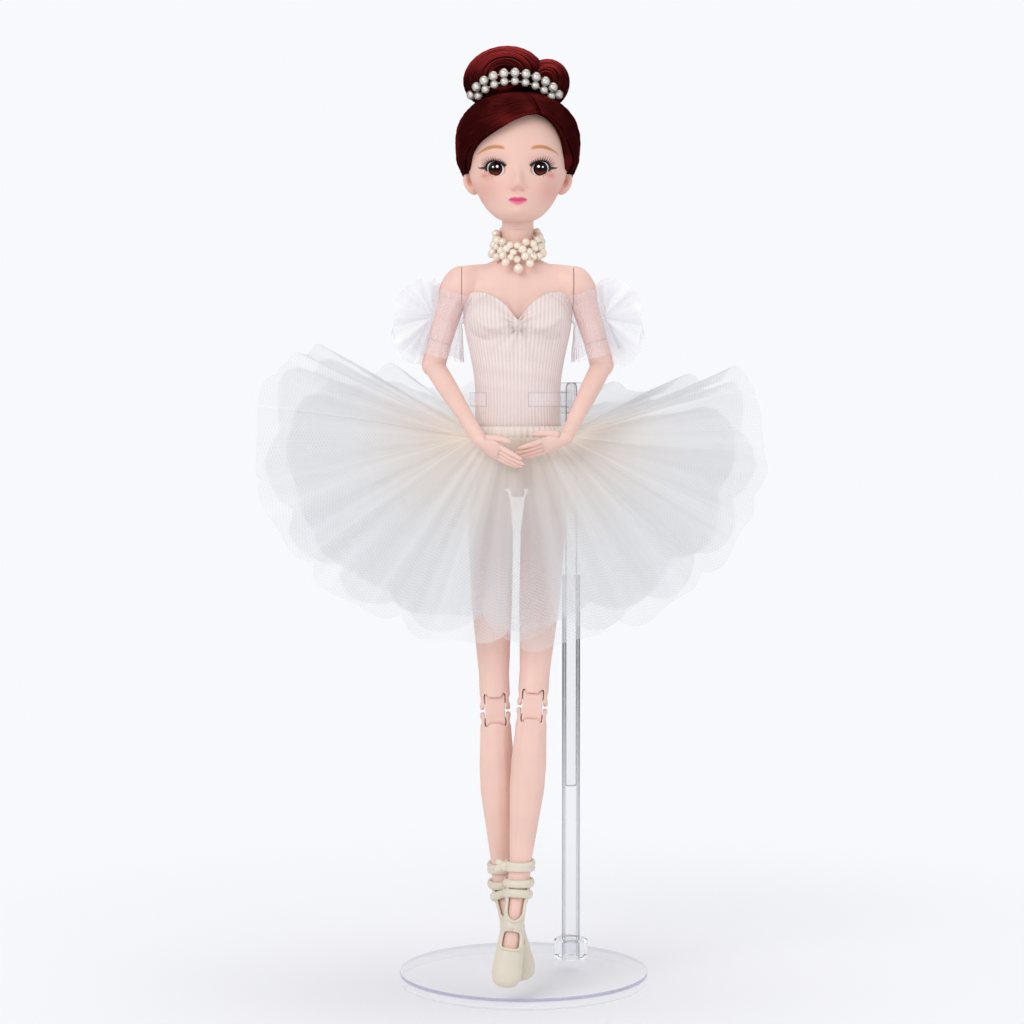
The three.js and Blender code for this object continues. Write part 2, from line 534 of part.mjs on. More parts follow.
// hair
const HAIR = [
  [1, 9.4, 9.5, 0, 7], [6, 13.6, 14, 0, 4.6], [13, 18.6, 18.6, 0, 1.2], [20, 19.9, 20.4, 0, 0],
  [28, 19.8, 20.2, 0, -0.2], [34, 16.8, 17.4, 0, 0], [38.6, 11, 12, 0, 0], [41, 3.4, 4, 0, 0],
];
const HAIRLINE = [[-24, 14], [-19.5, 14.6], [-16, 19.6], [-10, 25.2], [-1, 29.4], [8.4, 31],
  [12.6, 27.6], [15.4, 20], [16.8, 12.6], [24, 11], [24, -20], [-24, -20]];
const faceWindow = new THREE.ExtrudeGeometry(
  new THREE.Shape(HAIRLINE.map(([x, z]) => new THREE.Vector2(x, z))),
  { depth: 40, bevelEnabled: false }).rotateX(Math.PI / 2).translate(0, -1.5, 0);
const bare = new THREE.BufferGeometry().setAttribute("position", faceWindow.getAttribute("position"));
const hairWindow = solid(bare);
const scalp = loft(FACE, { segments: 18, rows: 10, grow: GAP });
const cap = loft(HAIR, { segments: 20, rows: 9 });
mesh("hair_cap", cut(cap, scalp, hairWindow,
  ball(1, [16.2, 1.6, 9.2], [3.1, 4.1, 5.8], 8), ball(1, [-16.2, 1.6, 9.2], [3.1, 4.1, 5.8], 8),
  box([60, 40, 14], [0, -16.2, 5]), post(14, -20, 1.2, [0, 0]),
), "hair", headNod, 0.1);
const capClear = loft(HAIR, { segments: 20, rows: 9, grow: GAP });
const bun = joined(
  ball(1, [-4.6, 2, 45.6], [13.2, 13.4, 10.0], 20),
  ball(1, [9.2, 3, 43.8], [7.2, 9.6, 8.0], 12),
);
mesh("hair_bun", cut(bun, capClear), "hair", headNod, 0.1);

// pearls strung on a wire along a curve
function pearls(path, count, radius, closed) {
  const curve = new THREE.CatmullRomCurve3(path.map((p) => new THREE.Vector3(...p)), closed);
  const wire = Array.from({ length: count }, (_, i) => {
    const steps = closed ? count : count - 1;
    const from = curve.getPointAt(i / steps % 1);
    const to = curve.getPointAt(((i + 1) / steps) % (closed ? 1 : 1.0001));
    return { from, to };
  });
  const beads = wire.map(({ from }) => ball(radius, from.toArray(), [1, 1, 1], 6));
  const links = wire.slice(0, closed ? count : count - 1)
    .map(({ from, to }) => capsule(from.toArray(), to.toArray(), 0.4, 3));
  return joined(...beads, ...links);
}

const bandRow = (lift, out) => [-78, -40, 0, 40, 78].map((degrees) => {
  const [s, c] = [Math.sin(rad(degrees)), Math.cos(rad(degrees))];
  return [-1 + (15.6 + 0.5 * lift) * s, -5.6 - (10.2 + out) * c, 35.9 + 7.3 * c + lift];
});
mesh("bead_headband", joined(
  pearls(bandRow(0, 0.6), 8, 1.5, false),
  pearls(bandRow(2.7, 0), 8, 1.65, false),
), "pearl", headNod);

const chokerRow = (radius, low, tilt) => Array.from({ length: 8 }, (_, i) => {
  const a = (i * Math.PI) / 4;
  return [radius * Math.sin(a), NECK_AXIS_Y - radius * Math.cos(a), low - tilt * Math.cos(a)];
});
mesh("pearl_choker", joined(
  pearls(chokerRow(8.2, 244.6, 1.8), 9, 1.6, true),
  pearls(chokerRow(7.9, 247.2, 2.0), 9, 1.55, true),
  box([0.8, 0.8, 12.4], [0, NECK_AXIS_Y + 7.2, 247.6]),
  ...[-4, 0, 4].flatMap((x) => {
    const drop = [x, NECK_AXIS_Y - 8.6 + 0.1 * Math.abs(x), 240.2 + 0.15 * Math.abs(x)];
    const hook = [x * 0.9, NECK_AXIS_Y - 8.2 + 0.24 * Math.abs(x), 243.4 + 0.1 * Math.abs(x)];
    return [ball(1.3, drop, [1, 1, 1.1], 6), capsule(drop, hook, 0.5, 3)];
  }),
), "pearl", waist);

// clothes
// Ribbed bodice: a shell over the trunk with a sweetheart front edge.
const cloth = (grow) => joined(
  loft(between(BODICE_BOTTOM, BODICE_TOP), { segments: 20, rows: 8, grow }),
  ...[1, -1].map((side) => ball(1, [side * 7.4, -5.4, 221.5], [8.2 + grow, 7.2 + grow, 7.4 + grow], 12)),
);
const SWEETHEART = [[-30, 225.6], [-15, 227], [-12, 229.4], [-7.5, 229.8], [-2.6, 225.4], [0, 219.8], [2.6, 225.4],
  [7.5, 229.8], [12, 229.4], [15, 227], [30, 225.6], [30, 260], [-30, 260]];
const above = new THREE.ExtrudeGeometry(
  new THREE.Shape(SWEETHEART.map(([x, z]) => new THREE.Vector2(x, z))),
  { depth: 60, bevelEnabled: false }).rotateX(Math.PI / 2).translate(0, 30, 0);
const plug = (z) => {
  const [, width, depth, x, y] = stationAt(TRUNK, z);
  return loft([[z - 0.4, width + GAP, depth + GAP, x, y], [z + 0.4, width + GAP, depth + GAP, x, y]], { segments: 20, rows: 1 });
};
const inside = joined(cloth(GAP * 1.3), plug(BODICE_BOTTOM), plug(BODICE_TOP));
mesh("bodice", cut(cloth(GAP + BODICE_THICKNESS), inside, solid(above)), "bodice", waist, 0.1);

const bandLow = TUTU_Z - 3.2;
mesh("skirt_waistband", cut(
  loft([[bandLow, 15.6, 11.8, 0, 0.8], [bandLow + 2, 15.5, 11.7, 0, 0.8]], { segments: 16, rows: 1 }),
  loft([[bandLow - 1, 14.7, 10.9, 0, 0.8], [bandLow + 3, 14.7, 10.9, 0, 0.8]], { segments: 16, rows: 1 }),
), "tulle", hips);

// Tutu: the front hangs as a fan before the thighs, the sides stand out level and the back rises.
function tutuPoint(degrees, v, { reach, drop, folds, depth, ease, sag }) {
  const a = rad(degrees);
  const [s, c] = [Math.sin(a), Math.cos(a)];
  const front = Math.max(c, 0);
  const back = Math.max(-c, 0);
  const start = new THREE.Vector3((16 + ease) * s, 0.8 - (12.2 + ease) * c, TUTU_Z - 2.4 - sag * 9 * (1 - front));
  const length = reach - drop * front ** 2 - 6 * back + 1.6 * Math.cos(a * folds);
  const out = new THREE.Vector3(s, 0.92 * back,
    -0.97 * front - 0.06 - sag + 0.5 * Math.min(back * 2, 0.6));
  out.normalize();
  const belly = front * (0.44 - sag) * length * v * (0.3 + 0.7 * v);
  const ripple = depth * v * Math.sin(a * folds);
  return start.addScaledVector(out, length * v)
    .add(new THREE.Vector3(0, -belly - ripple * front, ripple * (1 - front)));
}
const LAYERS = {
  tutu: { reach: 72, drop: 2, folds: 14, depth: 2.0, ease: 1.4, sag: 0 },
  tutu_lining: { reach: 62, drop: 1, folds: 11, depth: 0.7, ease: 0, sag: 0.14 },
};
const rodHole = post(ROD_RADIUS + 3 * GAP, TUBE_TOP, 230, rodFromDoll);
const GORES = { front_right: [-96, -0.7], front_left: [0.7, 96], back: [98, 262] };
for (const [layer, sizes] of Object.entries(LAYERS)) {
  for (const [gore, [from, to]] of Object.entries(GORES)) {
    const point = (u, v) => tutuPoint(THREE.MathUtils.lerp(from, to, u), v, sizes);
    mesh(`${layer}_${gore}`, cut(sheet(point, 24, 3, 0.5), rodHole), "tulle", hips, 0.05);
  }
}

// Off-shoulder tulle puffs: gathered round the outer half of each upper arm, flared above and below.
const SLEEVE = [[12.5, -3.5], [8.6, -8], [4.9, -12.6], [8.4, -17.6], [12.2, -22]];
for (const [side, sign] of [["left", 1], ["right", -1]]) {
  const raise = waist.getObjectByName(`${side}_shoulder_raise`);
  const puff = (u, v) => {
    const row = THREE.MathUtils.clamp(Math.floor(v * 4), 0, 3);
    const [r, z] = SLEEVE[row].map((from, k) => THREE.MathUtils.lerp(from, SLEEVE[row + 1][k], v * 4 - row));
    const a = rad(THREE.MathUtils.lerp(-88, 88, u));
    const flare = Math.abs(v - 0.5) * 2;
    const radius = r + 0.9 * flare * Math.sin(a * 11);
    return new THREE.Vector3(sign * radius * Math.cos(a), radius * Math.sin(a) * 0.9, z);
  };
  mesh(`${side}_sleeve`, sheet(puff, 16, 4, 0.5), "tulle", raise, 0.05);
}

export default root;
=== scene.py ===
"""Looks of the jointed ballerina doll on its clear stand: materials, soft pieces, light and camera."""

import logging
import math
import random
from collections.abc import Callable
from dataclasses import dataclass
from enum import Enum
from functools import cache

import bmesh
import bpy
from mathutils import Matrix, Vector, noise


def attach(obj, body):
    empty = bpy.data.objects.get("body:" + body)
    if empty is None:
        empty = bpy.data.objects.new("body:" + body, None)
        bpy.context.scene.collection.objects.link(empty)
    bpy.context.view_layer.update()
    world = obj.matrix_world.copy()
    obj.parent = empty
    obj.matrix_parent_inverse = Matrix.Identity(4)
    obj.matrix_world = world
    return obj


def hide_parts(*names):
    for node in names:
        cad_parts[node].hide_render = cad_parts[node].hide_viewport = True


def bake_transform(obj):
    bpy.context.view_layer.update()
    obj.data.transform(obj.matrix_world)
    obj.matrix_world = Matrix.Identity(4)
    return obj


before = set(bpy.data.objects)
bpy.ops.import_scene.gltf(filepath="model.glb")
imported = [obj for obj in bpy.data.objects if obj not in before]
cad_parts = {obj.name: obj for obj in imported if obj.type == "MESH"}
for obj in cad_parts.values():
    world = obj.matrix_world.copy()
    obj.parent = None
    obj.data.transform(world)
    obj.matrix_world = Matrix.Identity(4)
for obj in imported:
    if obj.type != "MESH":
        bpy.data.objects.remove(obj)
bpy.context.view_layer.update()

MM = 0.001
MERGE = 1e-6
DOLL = Vector((-2.0, 7.3, 0.0))
SCATTER_DEPTH = 0.003
SCATTER = (1.0, 0.35, 0.2)
GRAIN_DEPTH = 0.0002
LOG = logging.getLogger("doll")
Colour = tuple[float, float, float, float]
Station = tuple[float, ...]
Point = tuple[float, float, float]
Pair = tuple[float, float]
Path = list[Vector]
Socket = bpy.types.NodeSocket


def srgb(red: int, green: int, blue: int) -> Colour:
    """Linear RGBA of an 8-bit screen colour.

    Args:
        red: red channel, 0 to 255.
        green: green channel, 0 to 255.
        blue: blue channel, 0 to 255.

    Returns:
        The linear colour with full alpha.
    """
    linear = [((c / 255 + 0.055) / 1.055) ** 2.4 if c > 10 else c / 255 / 12.92 for c in (red, green, blue)]
    return (*linear, 1.0)


def grey(level: float) -> Colour:
    """Neutral linear colour of a level."""
    return (level, level, level, 1.0)


BACKDROP = srgb(248, 249, 252)


class Nodes:
    """Short way to fill a node tree."""

    def __init__(self, tree: bpy.types.NodeTree) -> None:
        """Start from an empty tree."""
        self.tree = tree
        tree.nodes.clear()

    def add(self, kind: str, settings: dict | None = None, **inputs: object) -> bpy.types.Node:
        """Add a node, set its properties and fill or link its inputs.

        Args:
            kind: Blender's node type.
            settings: attributes to set on the node.
            inputs: socket values or sockets to link, by name with spaces as underscores, or as i and a number.

        Returns:
            The new node.
        """
        node = self.tree.nodes.new(kind)
        for key, value in (settings or {}).items():
            setattr(node, key, value)
        for key, value in inputs.items():
            socket = node.inputs[int(key[1:]) if key[1:].isdigit() else key.replace("_", " ")]
            if isinstance(value, Socket):
                self.tree.links.new(value, socket)
            else:
                socket.default_value = value
        return node

    def calc(self, operation: str, first: object, second: object = 0.0) -> Socket:
        """Result of a math operation on two values or sockets."""
        return self.add("ShaderNodeMath", {"operation": operation}, i0=first, i1=second).outputs[0]

    def times(self, first: object, second: object) -> Socket:
        """Product of two values or sockets."""
        return self.calc("MULTIPLY", first, second)

    def plus(self, first: object, second: object) -> Socket:
        """Sum of two values or sockets."""
        return self.calc("ADD", first, second)

    def spread(self, value: Socket, low: float, high: float, start: object = 0.0, end: object = 1.0) -> Socket:
        """Value mapped from low and high to start and end, and held between them."""
        return self.add("ShaderNodeMapRange", Value=value, From_Min=low, From_Max=high, To_Min=start,
                        To_Max=end).outputs[0]

    def ramp(self, value: Socket, *stops: tuple[float, Colour]) -> Socket:
        """Map a value to colours.

        Args:
            value: socket that drives the ramp.
            stops: positions with linear colours.

        Returns:
            The ramp's colour socket.
        """
        node = self.add("ShaderNodeValToRGB", Fac=value)
        while len(node.color_ramp.elements) < len(stops):
            node.color_ramp.elements.new(0.5)
        for element, (position, colour) in zip(node.color_ramp.elements, stops):
            element.position, element.color = position, colour
        return node.outputs["Color"]

    def cloud(self, place: Socket, scale: float, detail: float = 2.0) -> Socket:
        """Noise at a place."""
        return self.add("ShaderNodeTexNoise", Vector=place, Scale=scale, Detail=detail).outputs["Fac"]

    def place(self) -> Socket:
        """Object coordinates."""
        return self.add("ShaderNodeTexCoord").outputs["Object"]

    def chart(self) -> Socket:
        """The piece's own map."""
        return self.add("ShaderNodeUVMap").outputs[0]

    def stretched(self, vector: Socket, scale: Point, turn: float = 0.0) -> Socket:
        """Vector turned about Z, in radians, and scaled."""
        node = self.add("ShaderNodeMapping", Vector=vector, Rotation=(0.0, 0.0, turn), Scale=scale)
        return node.outputs[0]

    def part(self, vector: Socket, axis: str) -> Socket:
        """One component of a vector."""
        return self.add("ShaderNodeSeparateXYZ", Vector=vector).outputs[axis]

    def facing(self, blend: float = 0.5) -> Socket:
        """How much a face turns away from the eye."""
        return self.add("ShaderNodeLayerWeight", Blend=blend).outputs["Facing"]

    def geometry(self, output: str) -> Socket:
        """One output of the Geometry node."""
        return self.add("ShaderNodeNewGeometry").outputs[output]

    def ray(self, kind: str) -> Socket:
        """1 on rays of one kind."""
        return self.add("ShaderNodeLightPath").outputs[kind]

    def seen(self) -> Socket:
        """1 on rays that show the background: the camera's, and those through clear parts."""
        return self.calc("MAXIMUM", self.ray("Is Camera Ray"), self.ray("Is Transmission Ray"))

    def tinted(self, share: Socket, first: object, second: object) -> Socket:
        """Colour that turns from the first to the second as the share grows."""
        return self.add("ShaderNodeMix", {"data_type": "RGBA"}, i0=share, i6=first, i7=second).outputs[2]

    def mixed(self, share: object, first: bpy.types.Node, second: bpy.types.Node) -> bpy.types.Node:
        """Shader that turns from the first to the second as the share grows."""
        return self.add("ShaderNodeMixShader", i0=share, i1=first.outputs[0], i2=second.outputs[0])


class Group(Nodes):
    """Node group with named sockets, for an effect that several materials share."""

    def __init__(self, name: str, takes: dict[str, str], gives: dict[str, str]) -> None:
        """Start the group and its sockets.

        Args:
            name: name of the group.
            takes: kind of socket of each input.
            gives: kind of socket of each output.
        """
        super().__init__(bpy.data.node_groups.new(name, "ShaderNodeTree"))
        for way, sockets in (("INPUT", takes), ("OUTPUT", gives)):
            for label, kind in sockets.items():
                self.tree.interface.new_socket(label, in_out=way, socket_type=f"NodeSocket{kind}")
        self.given = self.add("NodeGroupInput").outputs

    def give(self, **values: Socket) -> bpy.types.NodeTree:
        """Link the outputs and return the group."""
        self.add("NodeGroupOutput", **values)
        return self.tree


@cache
def moulded_grain() -> bpy.types.NodeTree:
    """Uneven tone and fine grain of moulded plastic."""
    n = Group("moulded_grain", {"Place": "Vector", "Colour": "Color", "Mottle": "Float", "Relief": "Float"},
              {"Tone": "Color", "Normal": "Vector"})
    paler, deeper = (n.calc(way, 1.0, n.given["Mottle"]) for way in ("ADD", "SUBTRACT"))
    share = n.spread(n.cloud(n.given["Place"], 90.0), 0.35, 0.65, deeper, paler)
    tone = n.add("ShaderNodeVectorMath", {"operation": "SCALE"}, i0=n.given["Colour"], Scale=share)
    relief = n.add("ShaderNodeBump", Strength=n.given["Relief"], Distance=GRAIN_DEPTH,
                   Height=n.cloud(n.given["Place"], 2600.0))
    return n.give(Tone=tone.outputs[0], Normal=relief.outputs[0])


@cache
def net_weave() -> bpy.types.NodeTree:
    """Crossed threads of net, drawn together in pleats and creamier where it is gathered; the thread is lighter and
    darker along the pleats as painted fold shade.
    """
    n = Group("net_weave", {"Map": "Vector", "Thread": "Color", "Cover": "Float", "Warm": "Float", "Sheer": "Float"},
              {"Density": "Float", "Tone": "Color"})
    chart, cover = n.given["Map"], n.given["Cover"]
    crossed = [n.add("ShaderNodeTexWave", Vector=n.stretched(chart, (1.25, 1.25, 1.0), turn), Scale=0.314,
                     Distortion=0.6).outputs["Fac"] for turn in (0.785, -0.785)]
    thread = n.calc("MAXIMUM", *crossed)
    drawn = n.add("ShaderNodeTexNoise", Vector=n.stretched(chart, (0.2, 0.007, 1.0)), Scale=0.8, Detail=1.6,
                  Roughness=0.5)
    pleat = n.spread(drawn.outputs["Fac"], 0.36, 0.64)
    gather = n.spread(n.part(chart, "Y"), 42.0, 0.0, 0.0, 0.34)
    woven = n.plus(n.times(thread, n.times(cover, 0.2)), n.times(pleat, 0.17))
    dense = n.plus(n.plus(woven, gather), n.calc("SUBTRACT", cover, 0.14))
    ahead = n.spread(n.calc("ABSOLUTE", n.part(chart, "X")), 6.0, 24.0, n.calc("SUBTRACT", 1.0, n.given["Sheer"]))
    # Painted fold shade: the thread's tone goes lighter and darker along the pleats.
    pale = n.add("ShaderNodeVectorMath", {"operation": "SCALE"}, i0=n.given["Thread"],
                 Scale=n.spread(pleat, 0.0, 1.0, 0.95, 1.05)).outputs[0]
    tone = n.add("ShaderNodeVectorMath", {"operation": "MINIMUM"}, i0=pale, i1=(1.0, 1.0, 1.0)).outputs[0]
    warm = n.times(gather, n.times(n.given["Warm"], 2.8))
    return n.give(Density=n.times(dense, ahead), Tone=n.tinted(warm, tone, srgb(241, 229, 216)))


@dataclass(frozen=True)
class Finish:
    """A finish: the name of its material, and a slot name that nothing here reads."""

    name: str
    slot: str

    def shader(self, n: Nodes) -> bpy.types.Node:
        """Surface shader, built in the material's tree."""
        raise NotImplementedError

    @cache
    def material(self) -> bpy.types.Material:
        """The material, made once."""
        made = bpy.data.materials.new(self.name)
        made.use_nodes = True
        n = Nodes(made.node_tree)
        n.add("ShaderNodeOutputMaterial", Surface=self.shader(n).outputs[0])
        return made


@dataclass(frozen=True)
class Plastic(Finish):
    """Soft moulded plastic with a faint uneven tone."""

    colour: Colour
    roughness: float
    subsurface: float = 0.0
    mottle: float = 0.03
    relief: float = 0.02

    def shader(self, n: Nodes) -> bpy.types.Node:
        """Principled shader over the moulded grain."""
        grain = n.add("ShaderNodeGroup", {"node_tree": moulded_grain()}, Place=n.place(), Colour=self.colour,
                      Mottle=self.mottle, Relief=self.relief).outputs
        return n.add("ShaderNodeBsdfPrincipled", Base_Color=grain["Tone"], Roughness=self.roughness,
                     Subsurface_Weight=self.subsurface, Subsurface_Scale=SCATTER_DEPTH, Subsurface_Radius=SCATTER,
                     Specular_IOR_Level=0.35, Normal=grain["Normal"])


@dataclass(frozen=True)
class Painted(Finish):
    """Moulded plastic whose paint is the piece's own colour attribute."""

    roughness: float
    subsurface: float = 0.0
    glow: float = 0.0
    shine: float = 0.35

    def shader(self, n: Nodes) -> bpy.types.Node:
        """Principled shader; a share of the paint's colour glows, painted light that keeps it bright in shade."""
        tone = n.add("ShaderNodeAttribute", {"attribute_name": "paint"}).outputs["Color"]
        return n.add("ShaderNodeBsdfPrincipled", Base_Color=tone, Roughness=self.roughness,
                     Subsurface_Weight=self.subsurface, Subsurface_Scale=SCATTER_DEPTH, Subsurface_Radius=SCATTER,
                     Emission_Color=tone, Emission_Strength=self.glow, Specular_IOR_Level=self.shine)


@dataclass(frozen=True)
class Acrylic(Finish):
    """Polished clear acrylic that bends the light."""

    def shader(self, n: Nodes) -> bpy.types.Node:
        """Glass-like shader that casts a pale shadow."""
        rough = n.times(n.cloud(n.place(), 60.0), 0.05)
        glassy = n.add("ShaderNodeBsdfPrincipled", Base_Color=(0.97, 0.98, 1.0, 1.0), Roughness=rough, IOR=1.4,
                       Transmission_Weight=1.0)
        passing = n.add("ShaderNodeBsdfTransparent", Color=(0.93, 0.94, 0.95, 1.0))
        return n.mixed(n.ray("Is Shadow Ray"), glassy, passing)


@dataclass(frozen=True)
class AcrylicTube(Finish):
    """Clear tube: upright lines where its walls are seen edge on, darker near the top."""

    paler_below: float = 0.055
    dark_above: float = 0.1

    def shader(self, n: Nodes) -> bpy.types.Node:
        """Transparent shader tinted along the walls, under a little gloss."""
        dark = n.spread(n.part(n.place(), "Z"), self.paler_below, self.dark_above)
        line = n.ramp(dark, (0.0, (0.74, 0.74, 0.79, 1.0)), (1.0, (0.18, 0.18, 0.2, 1.0)))
        wall = n.ramp(n.facing(), (0.0, grey(0.0)), (0.42, grey(0.0)), (0.52, grey(1.0)), (0.64, grey(1.0)),
                      (0.72, grey(0.0)), (1.0, grey(0.35)))
        passing = n.add("ShaderNodeBsdfTransparent", Color=n.tinted(wall, (0.985, 0.985, 0.99, 1.0), line))
        share = n.times(n.add("ShaderNodeFresnel", IOR=1.3).outputs[0], 0.5)
        return n.mixed(share, passing, n.add("ShaderNodeBsdfGlossy", Roughness=0.1))


@dataclass(frozen=True)
class AcrylicSheet(Finish):
    """Clear acrylic seen through its flat faces: a share of scattered light, and edges that show."""

    milk: float = 0.03
    roughness: float = 0.06
    outline: float = 0.0
    reach: float = 0.0005

    def shader(self, n: Nodes) -> bpy.types.Node:
        """Transparent shader with a milky, tinted share on the faces towards the camera."""
        lit = n.times(n.ray("Is Camera Ray"), n.calc("SUBTRACT", 1.0, n.geometry("Backfacing")))
        rounded = n.add("ShaderNodeBevel", Radius=self.reach).outputs[0]
        level = n.add("ShaderNodeVectorMath", {"operation": "DOT_PRODUCT"}, i0=rounded,
                      i1=n.geometry("True Normal")).outputs["Value"]
        edge = n.times(n.calc("SUBTRACT", 1.0, level), self.outline)
        tint = n.ramp(edge, (0.0, srgb(238, 238, 246)), (0.3, srgb(168, 150, 156)))
        milky = n.add("ShaderNodeBsdfPrincipled", Base_Color=tint, Roughness=self.roughness)
        gloss = n.times(n.add("ShaderNodeFresnel", IOR=1.35).outputs[0], 0.5)
        share = n.times(n.plus(n.plus(gloss, self.milk), edge), lit)
        return n.mixed(share, n.add("ShaderNodeBsdfTransparent"), milky)


@dataclass(frozen=True)
class AcrylicRim(Finish):
    """Cut edge of a clear disc: grey-lavender lines along its upper and lower corners and a white line low on the
    edge, painted reflections and a painted highlight.
    """

    low: float = 0.0
    high: float = 0.004
    behind: float = 0.72

    def shader(self, n: Nodes) -> bpy.types.Node:
        """Transparent shader with a tinted share, weaker on the far wall."""
        level = n.spread(n.part(n.place(), "Z"), self.low, self.high)
        # Painted on the edge by height: a white highlight line low down and grey-lavender reflection lines near the
        # corners.
        tint = n.ramp(level, (0.0, srgb(186, 186, 200)), (0.2, srgb(250, 250, 253)), (0.6, srgb(236, 236, 244)),
                      (0.74, srgb(158, 156, 188)), (1.0, srgb(176, 174, 204)))
        share = n.ramp(level, (0.0, grey(0.5)), (0.16, grey(0.42)), (0.6, grey(0.3)), (0.76, grey(0.78)),
                       (1.0, grey(0.6)))
        near = n.calc("SUBTRACT", 1.0, n.times(n.geometry("Backfacing"), self.behind))
        edge = n.add("ShaderNodeBsdfPrincipled", Base_Color=tint, Roughness=0.12)
        return n.mixed(n.times(n.times(share, near), n.ray("Is Camera Ray")),
                       n.add("ShaderNodeBsdfTransparent"), edge)


@dataclass(frozen=True)
class PearlCoat(Finish):
    """Pearly coat with a warm body."""

    def shader(self, n: Nodes) -> bpy.types.Node:
        """Coated shader whose tone drifts over the pearl."""
        tone = n.ramp(n.cloud(n.place(), 420.0, 1.0), (0.3, srgb(236, 214, 192)), (0.5, srgb(248, 236, 220)),
                      (0.7, srgb(240, 224, 206)))
        return n.add("ShaderNodeBsdfPrincipled", Base_Color=tone, Roughness=0.14, Coat_Weight=1.0,
                     Coat_Roughness=0.04, Metallic=0.12)


@dataclass(frozen=True)
class BeadWithPaintedReflections(Finish):
    """Glass bead: pale in the middle and grey to dark at the rim, in rings of painted reflection."""

    def shader(self, n: Nodes) -> bpy.types.Node:
        """Coated shader whose tone follows the angle of view, as painted reflections."""
        tone = n.ramp(n.facing(0.4), (0.0, srgb(240, 237, 228)), (0.16, srgb(176, 168, 158)),
                      (0.26, srgb(214, 208, 198)), (0.4, srgb(140, 126, 118)), (0.6, srgb(70, 46, 44)))
        return n.add("ShaderNodeBsdfPrincipled", Base_Color=tone, Roughness=0.06, Coat_Weight=1.0, Metallic=0.25)


@dataclass(frozen=True)
class HairFibre(Finish):
    """Glossy dark red hair, streaked along each strand, with a painted highlight on its upward faces, strongest high
    on the crown and bun.
    """

    highlight_from: float = 0.292
    highlight_to: float = 0.3
    streaks: Point = (160.0, 3.0, 1.0)

    def shader(self, n: Nodes) -> bpy.types.Node:
        """Streaked diffuse shader with a painted highlight and a trace of gloss."""
        place = n.place()
        fine = n.cloud(n.stretched(n.chart(), self.streaks), 1.0, 3.0)
        streak = n.plus(n.times(fine, 0.42), n.times(n.cloud(place, 95.0, 1.0), 0.58))
        dark = n.ramp(streak, (0.42, srgb(1, 0, 0)), (0.52, srgb(10, 1, 2)), (0.64, srgb(84, 17, 13)))
        # Painted highlight: faces that turn upward are lighter, most of all high on the crown and bun.
        high = n.spread(n.part(place, "Z"), self.highlight_from, self.highlight_to, 0.12)
        upward_highlight = n.spread(n.part(n.geometry("Normal"), "Z"), 0.15, 0.85, 0.0, 1.15)
        tone = n.tinted(n.times(n.times(upward_highlight, high), streak), dark, srgb(186, 60, 58))
        relief = n.add("ShaderNodeBump", Strength=0.5, Distance=GRAIN_DEPTH, Height=streak).outputs[0]
        body = n.add("ShaderNodeBsdfDiffuse", Color=tone, Normal=relief)
        return n.mixed(0.06, body, n.add("ShaderNodeBsdfGlossy", Color=srgb(214, 74, 76), Roughness=0.26,
                                         Normal=relief))


@dataclass(frozen=True)
class Net(Finish):
    """Sheer net: how much the thread covers, how creamy its gathers are, how thin it looks straight ahead."""

    thread: Colour
    cover: float
    warm: float = 1.0
    sheer: float = 0.0

    def shader(self, n: Nodes) -> bpy.types.Node:
        """Principled shader, denser where the net turns away from the eye."""
        weave = n.add("ShaderNodeGroup", {"node_tree": net_weave()}, Map=n.chart(), Thread=self.thread,
                      Cover=self.cover, Warm=self.warm, Sheer=self.sheer).outputs
        edge = n.times(n.calc("POWER", n.facing(), 2.5), 0.5)
        alpha = n.add("ShaderNodeClamp", Value=n.plus(weave["Density"], edge)).outputs[0]
        return n.add("ShaderNodeBsdfPrincipled", Base_Color=weave["Tone"], Roughness=0.75, Alpha=alpha,
                     Specular_IOR_Level=0.15)


@dataclass(frozen=True)
class RibKnit(Finish):
    """Ribbed knit: fine upright ribs on the piece's own map."""

    def shader(self, n: Nodes) -> bpy.types.Node:
        """Principled shader with ribs, loops and a faint sheen."""
        chart = n.chart()
        rib = n.add("ShaderNodeTexWave", Vector=chart, Scale=0.245, Distortion=0.5).outputs["Fac"]
        loops = n.add("ShaderNodeTexWave", {"bands_direction": "Y"}, Vector=chart, Scale=0.45, Distortion=0.4)
        height = n.plus(n.times(loops.outputs["Fac"], 0.25), rib)
        # The ribs are painted darker in their grooves, a painted shade, over a random tone.
        shade = n.plus(n.times(n.cloud(chart, 2.5, 3.0), 0.5), n.times(rib, 0.5))
        relief = n.add("ShaderNodeBump", Strength=0.4, Distance=0.0003, Height=height).outputs[0]
        return n.add("ShaderNodeBsdfPrincipled", Base_Color=n.ramp(shade, (0.2, srgb(226, 207, 202)),
                                                                   (0.6, srgb(240, 226, 222))),
                     Roughness=0.8, Normal=relief, Specular_IOR_Level=0.2, Sheen_Weight=0.25)


@dataclass(frozen=True)
class FloorPaper(Finish):
    """Pale paper that keeps the shadow near the stand and is the background's tone further out."""

    fade: float = 0.32

    def shader(self, n: Nodes) -> bpy.types.Node:
        """Diffuse paper that turns to an even glow with distance."""
        reach = n.add("ShaderNodeVectorMath", {"operation": "LENGTH"}, i0=n.place()).outputs["Value"]
        far = n.add("ShaderNodeMapRange", {"interpolation_type": "SMOOTHSTEP"}, Value=reach, From_Max=self.fade)
        return n.mixed(n.times(n.seen(), far.outputs[0]),
                       n.add("ShaderNodeBsdfDiffuse", Color=(0.93, 0.93, 0.96, 1.0)),
                       n.add("ShaderNodeEmission", Color=BACKDROP))


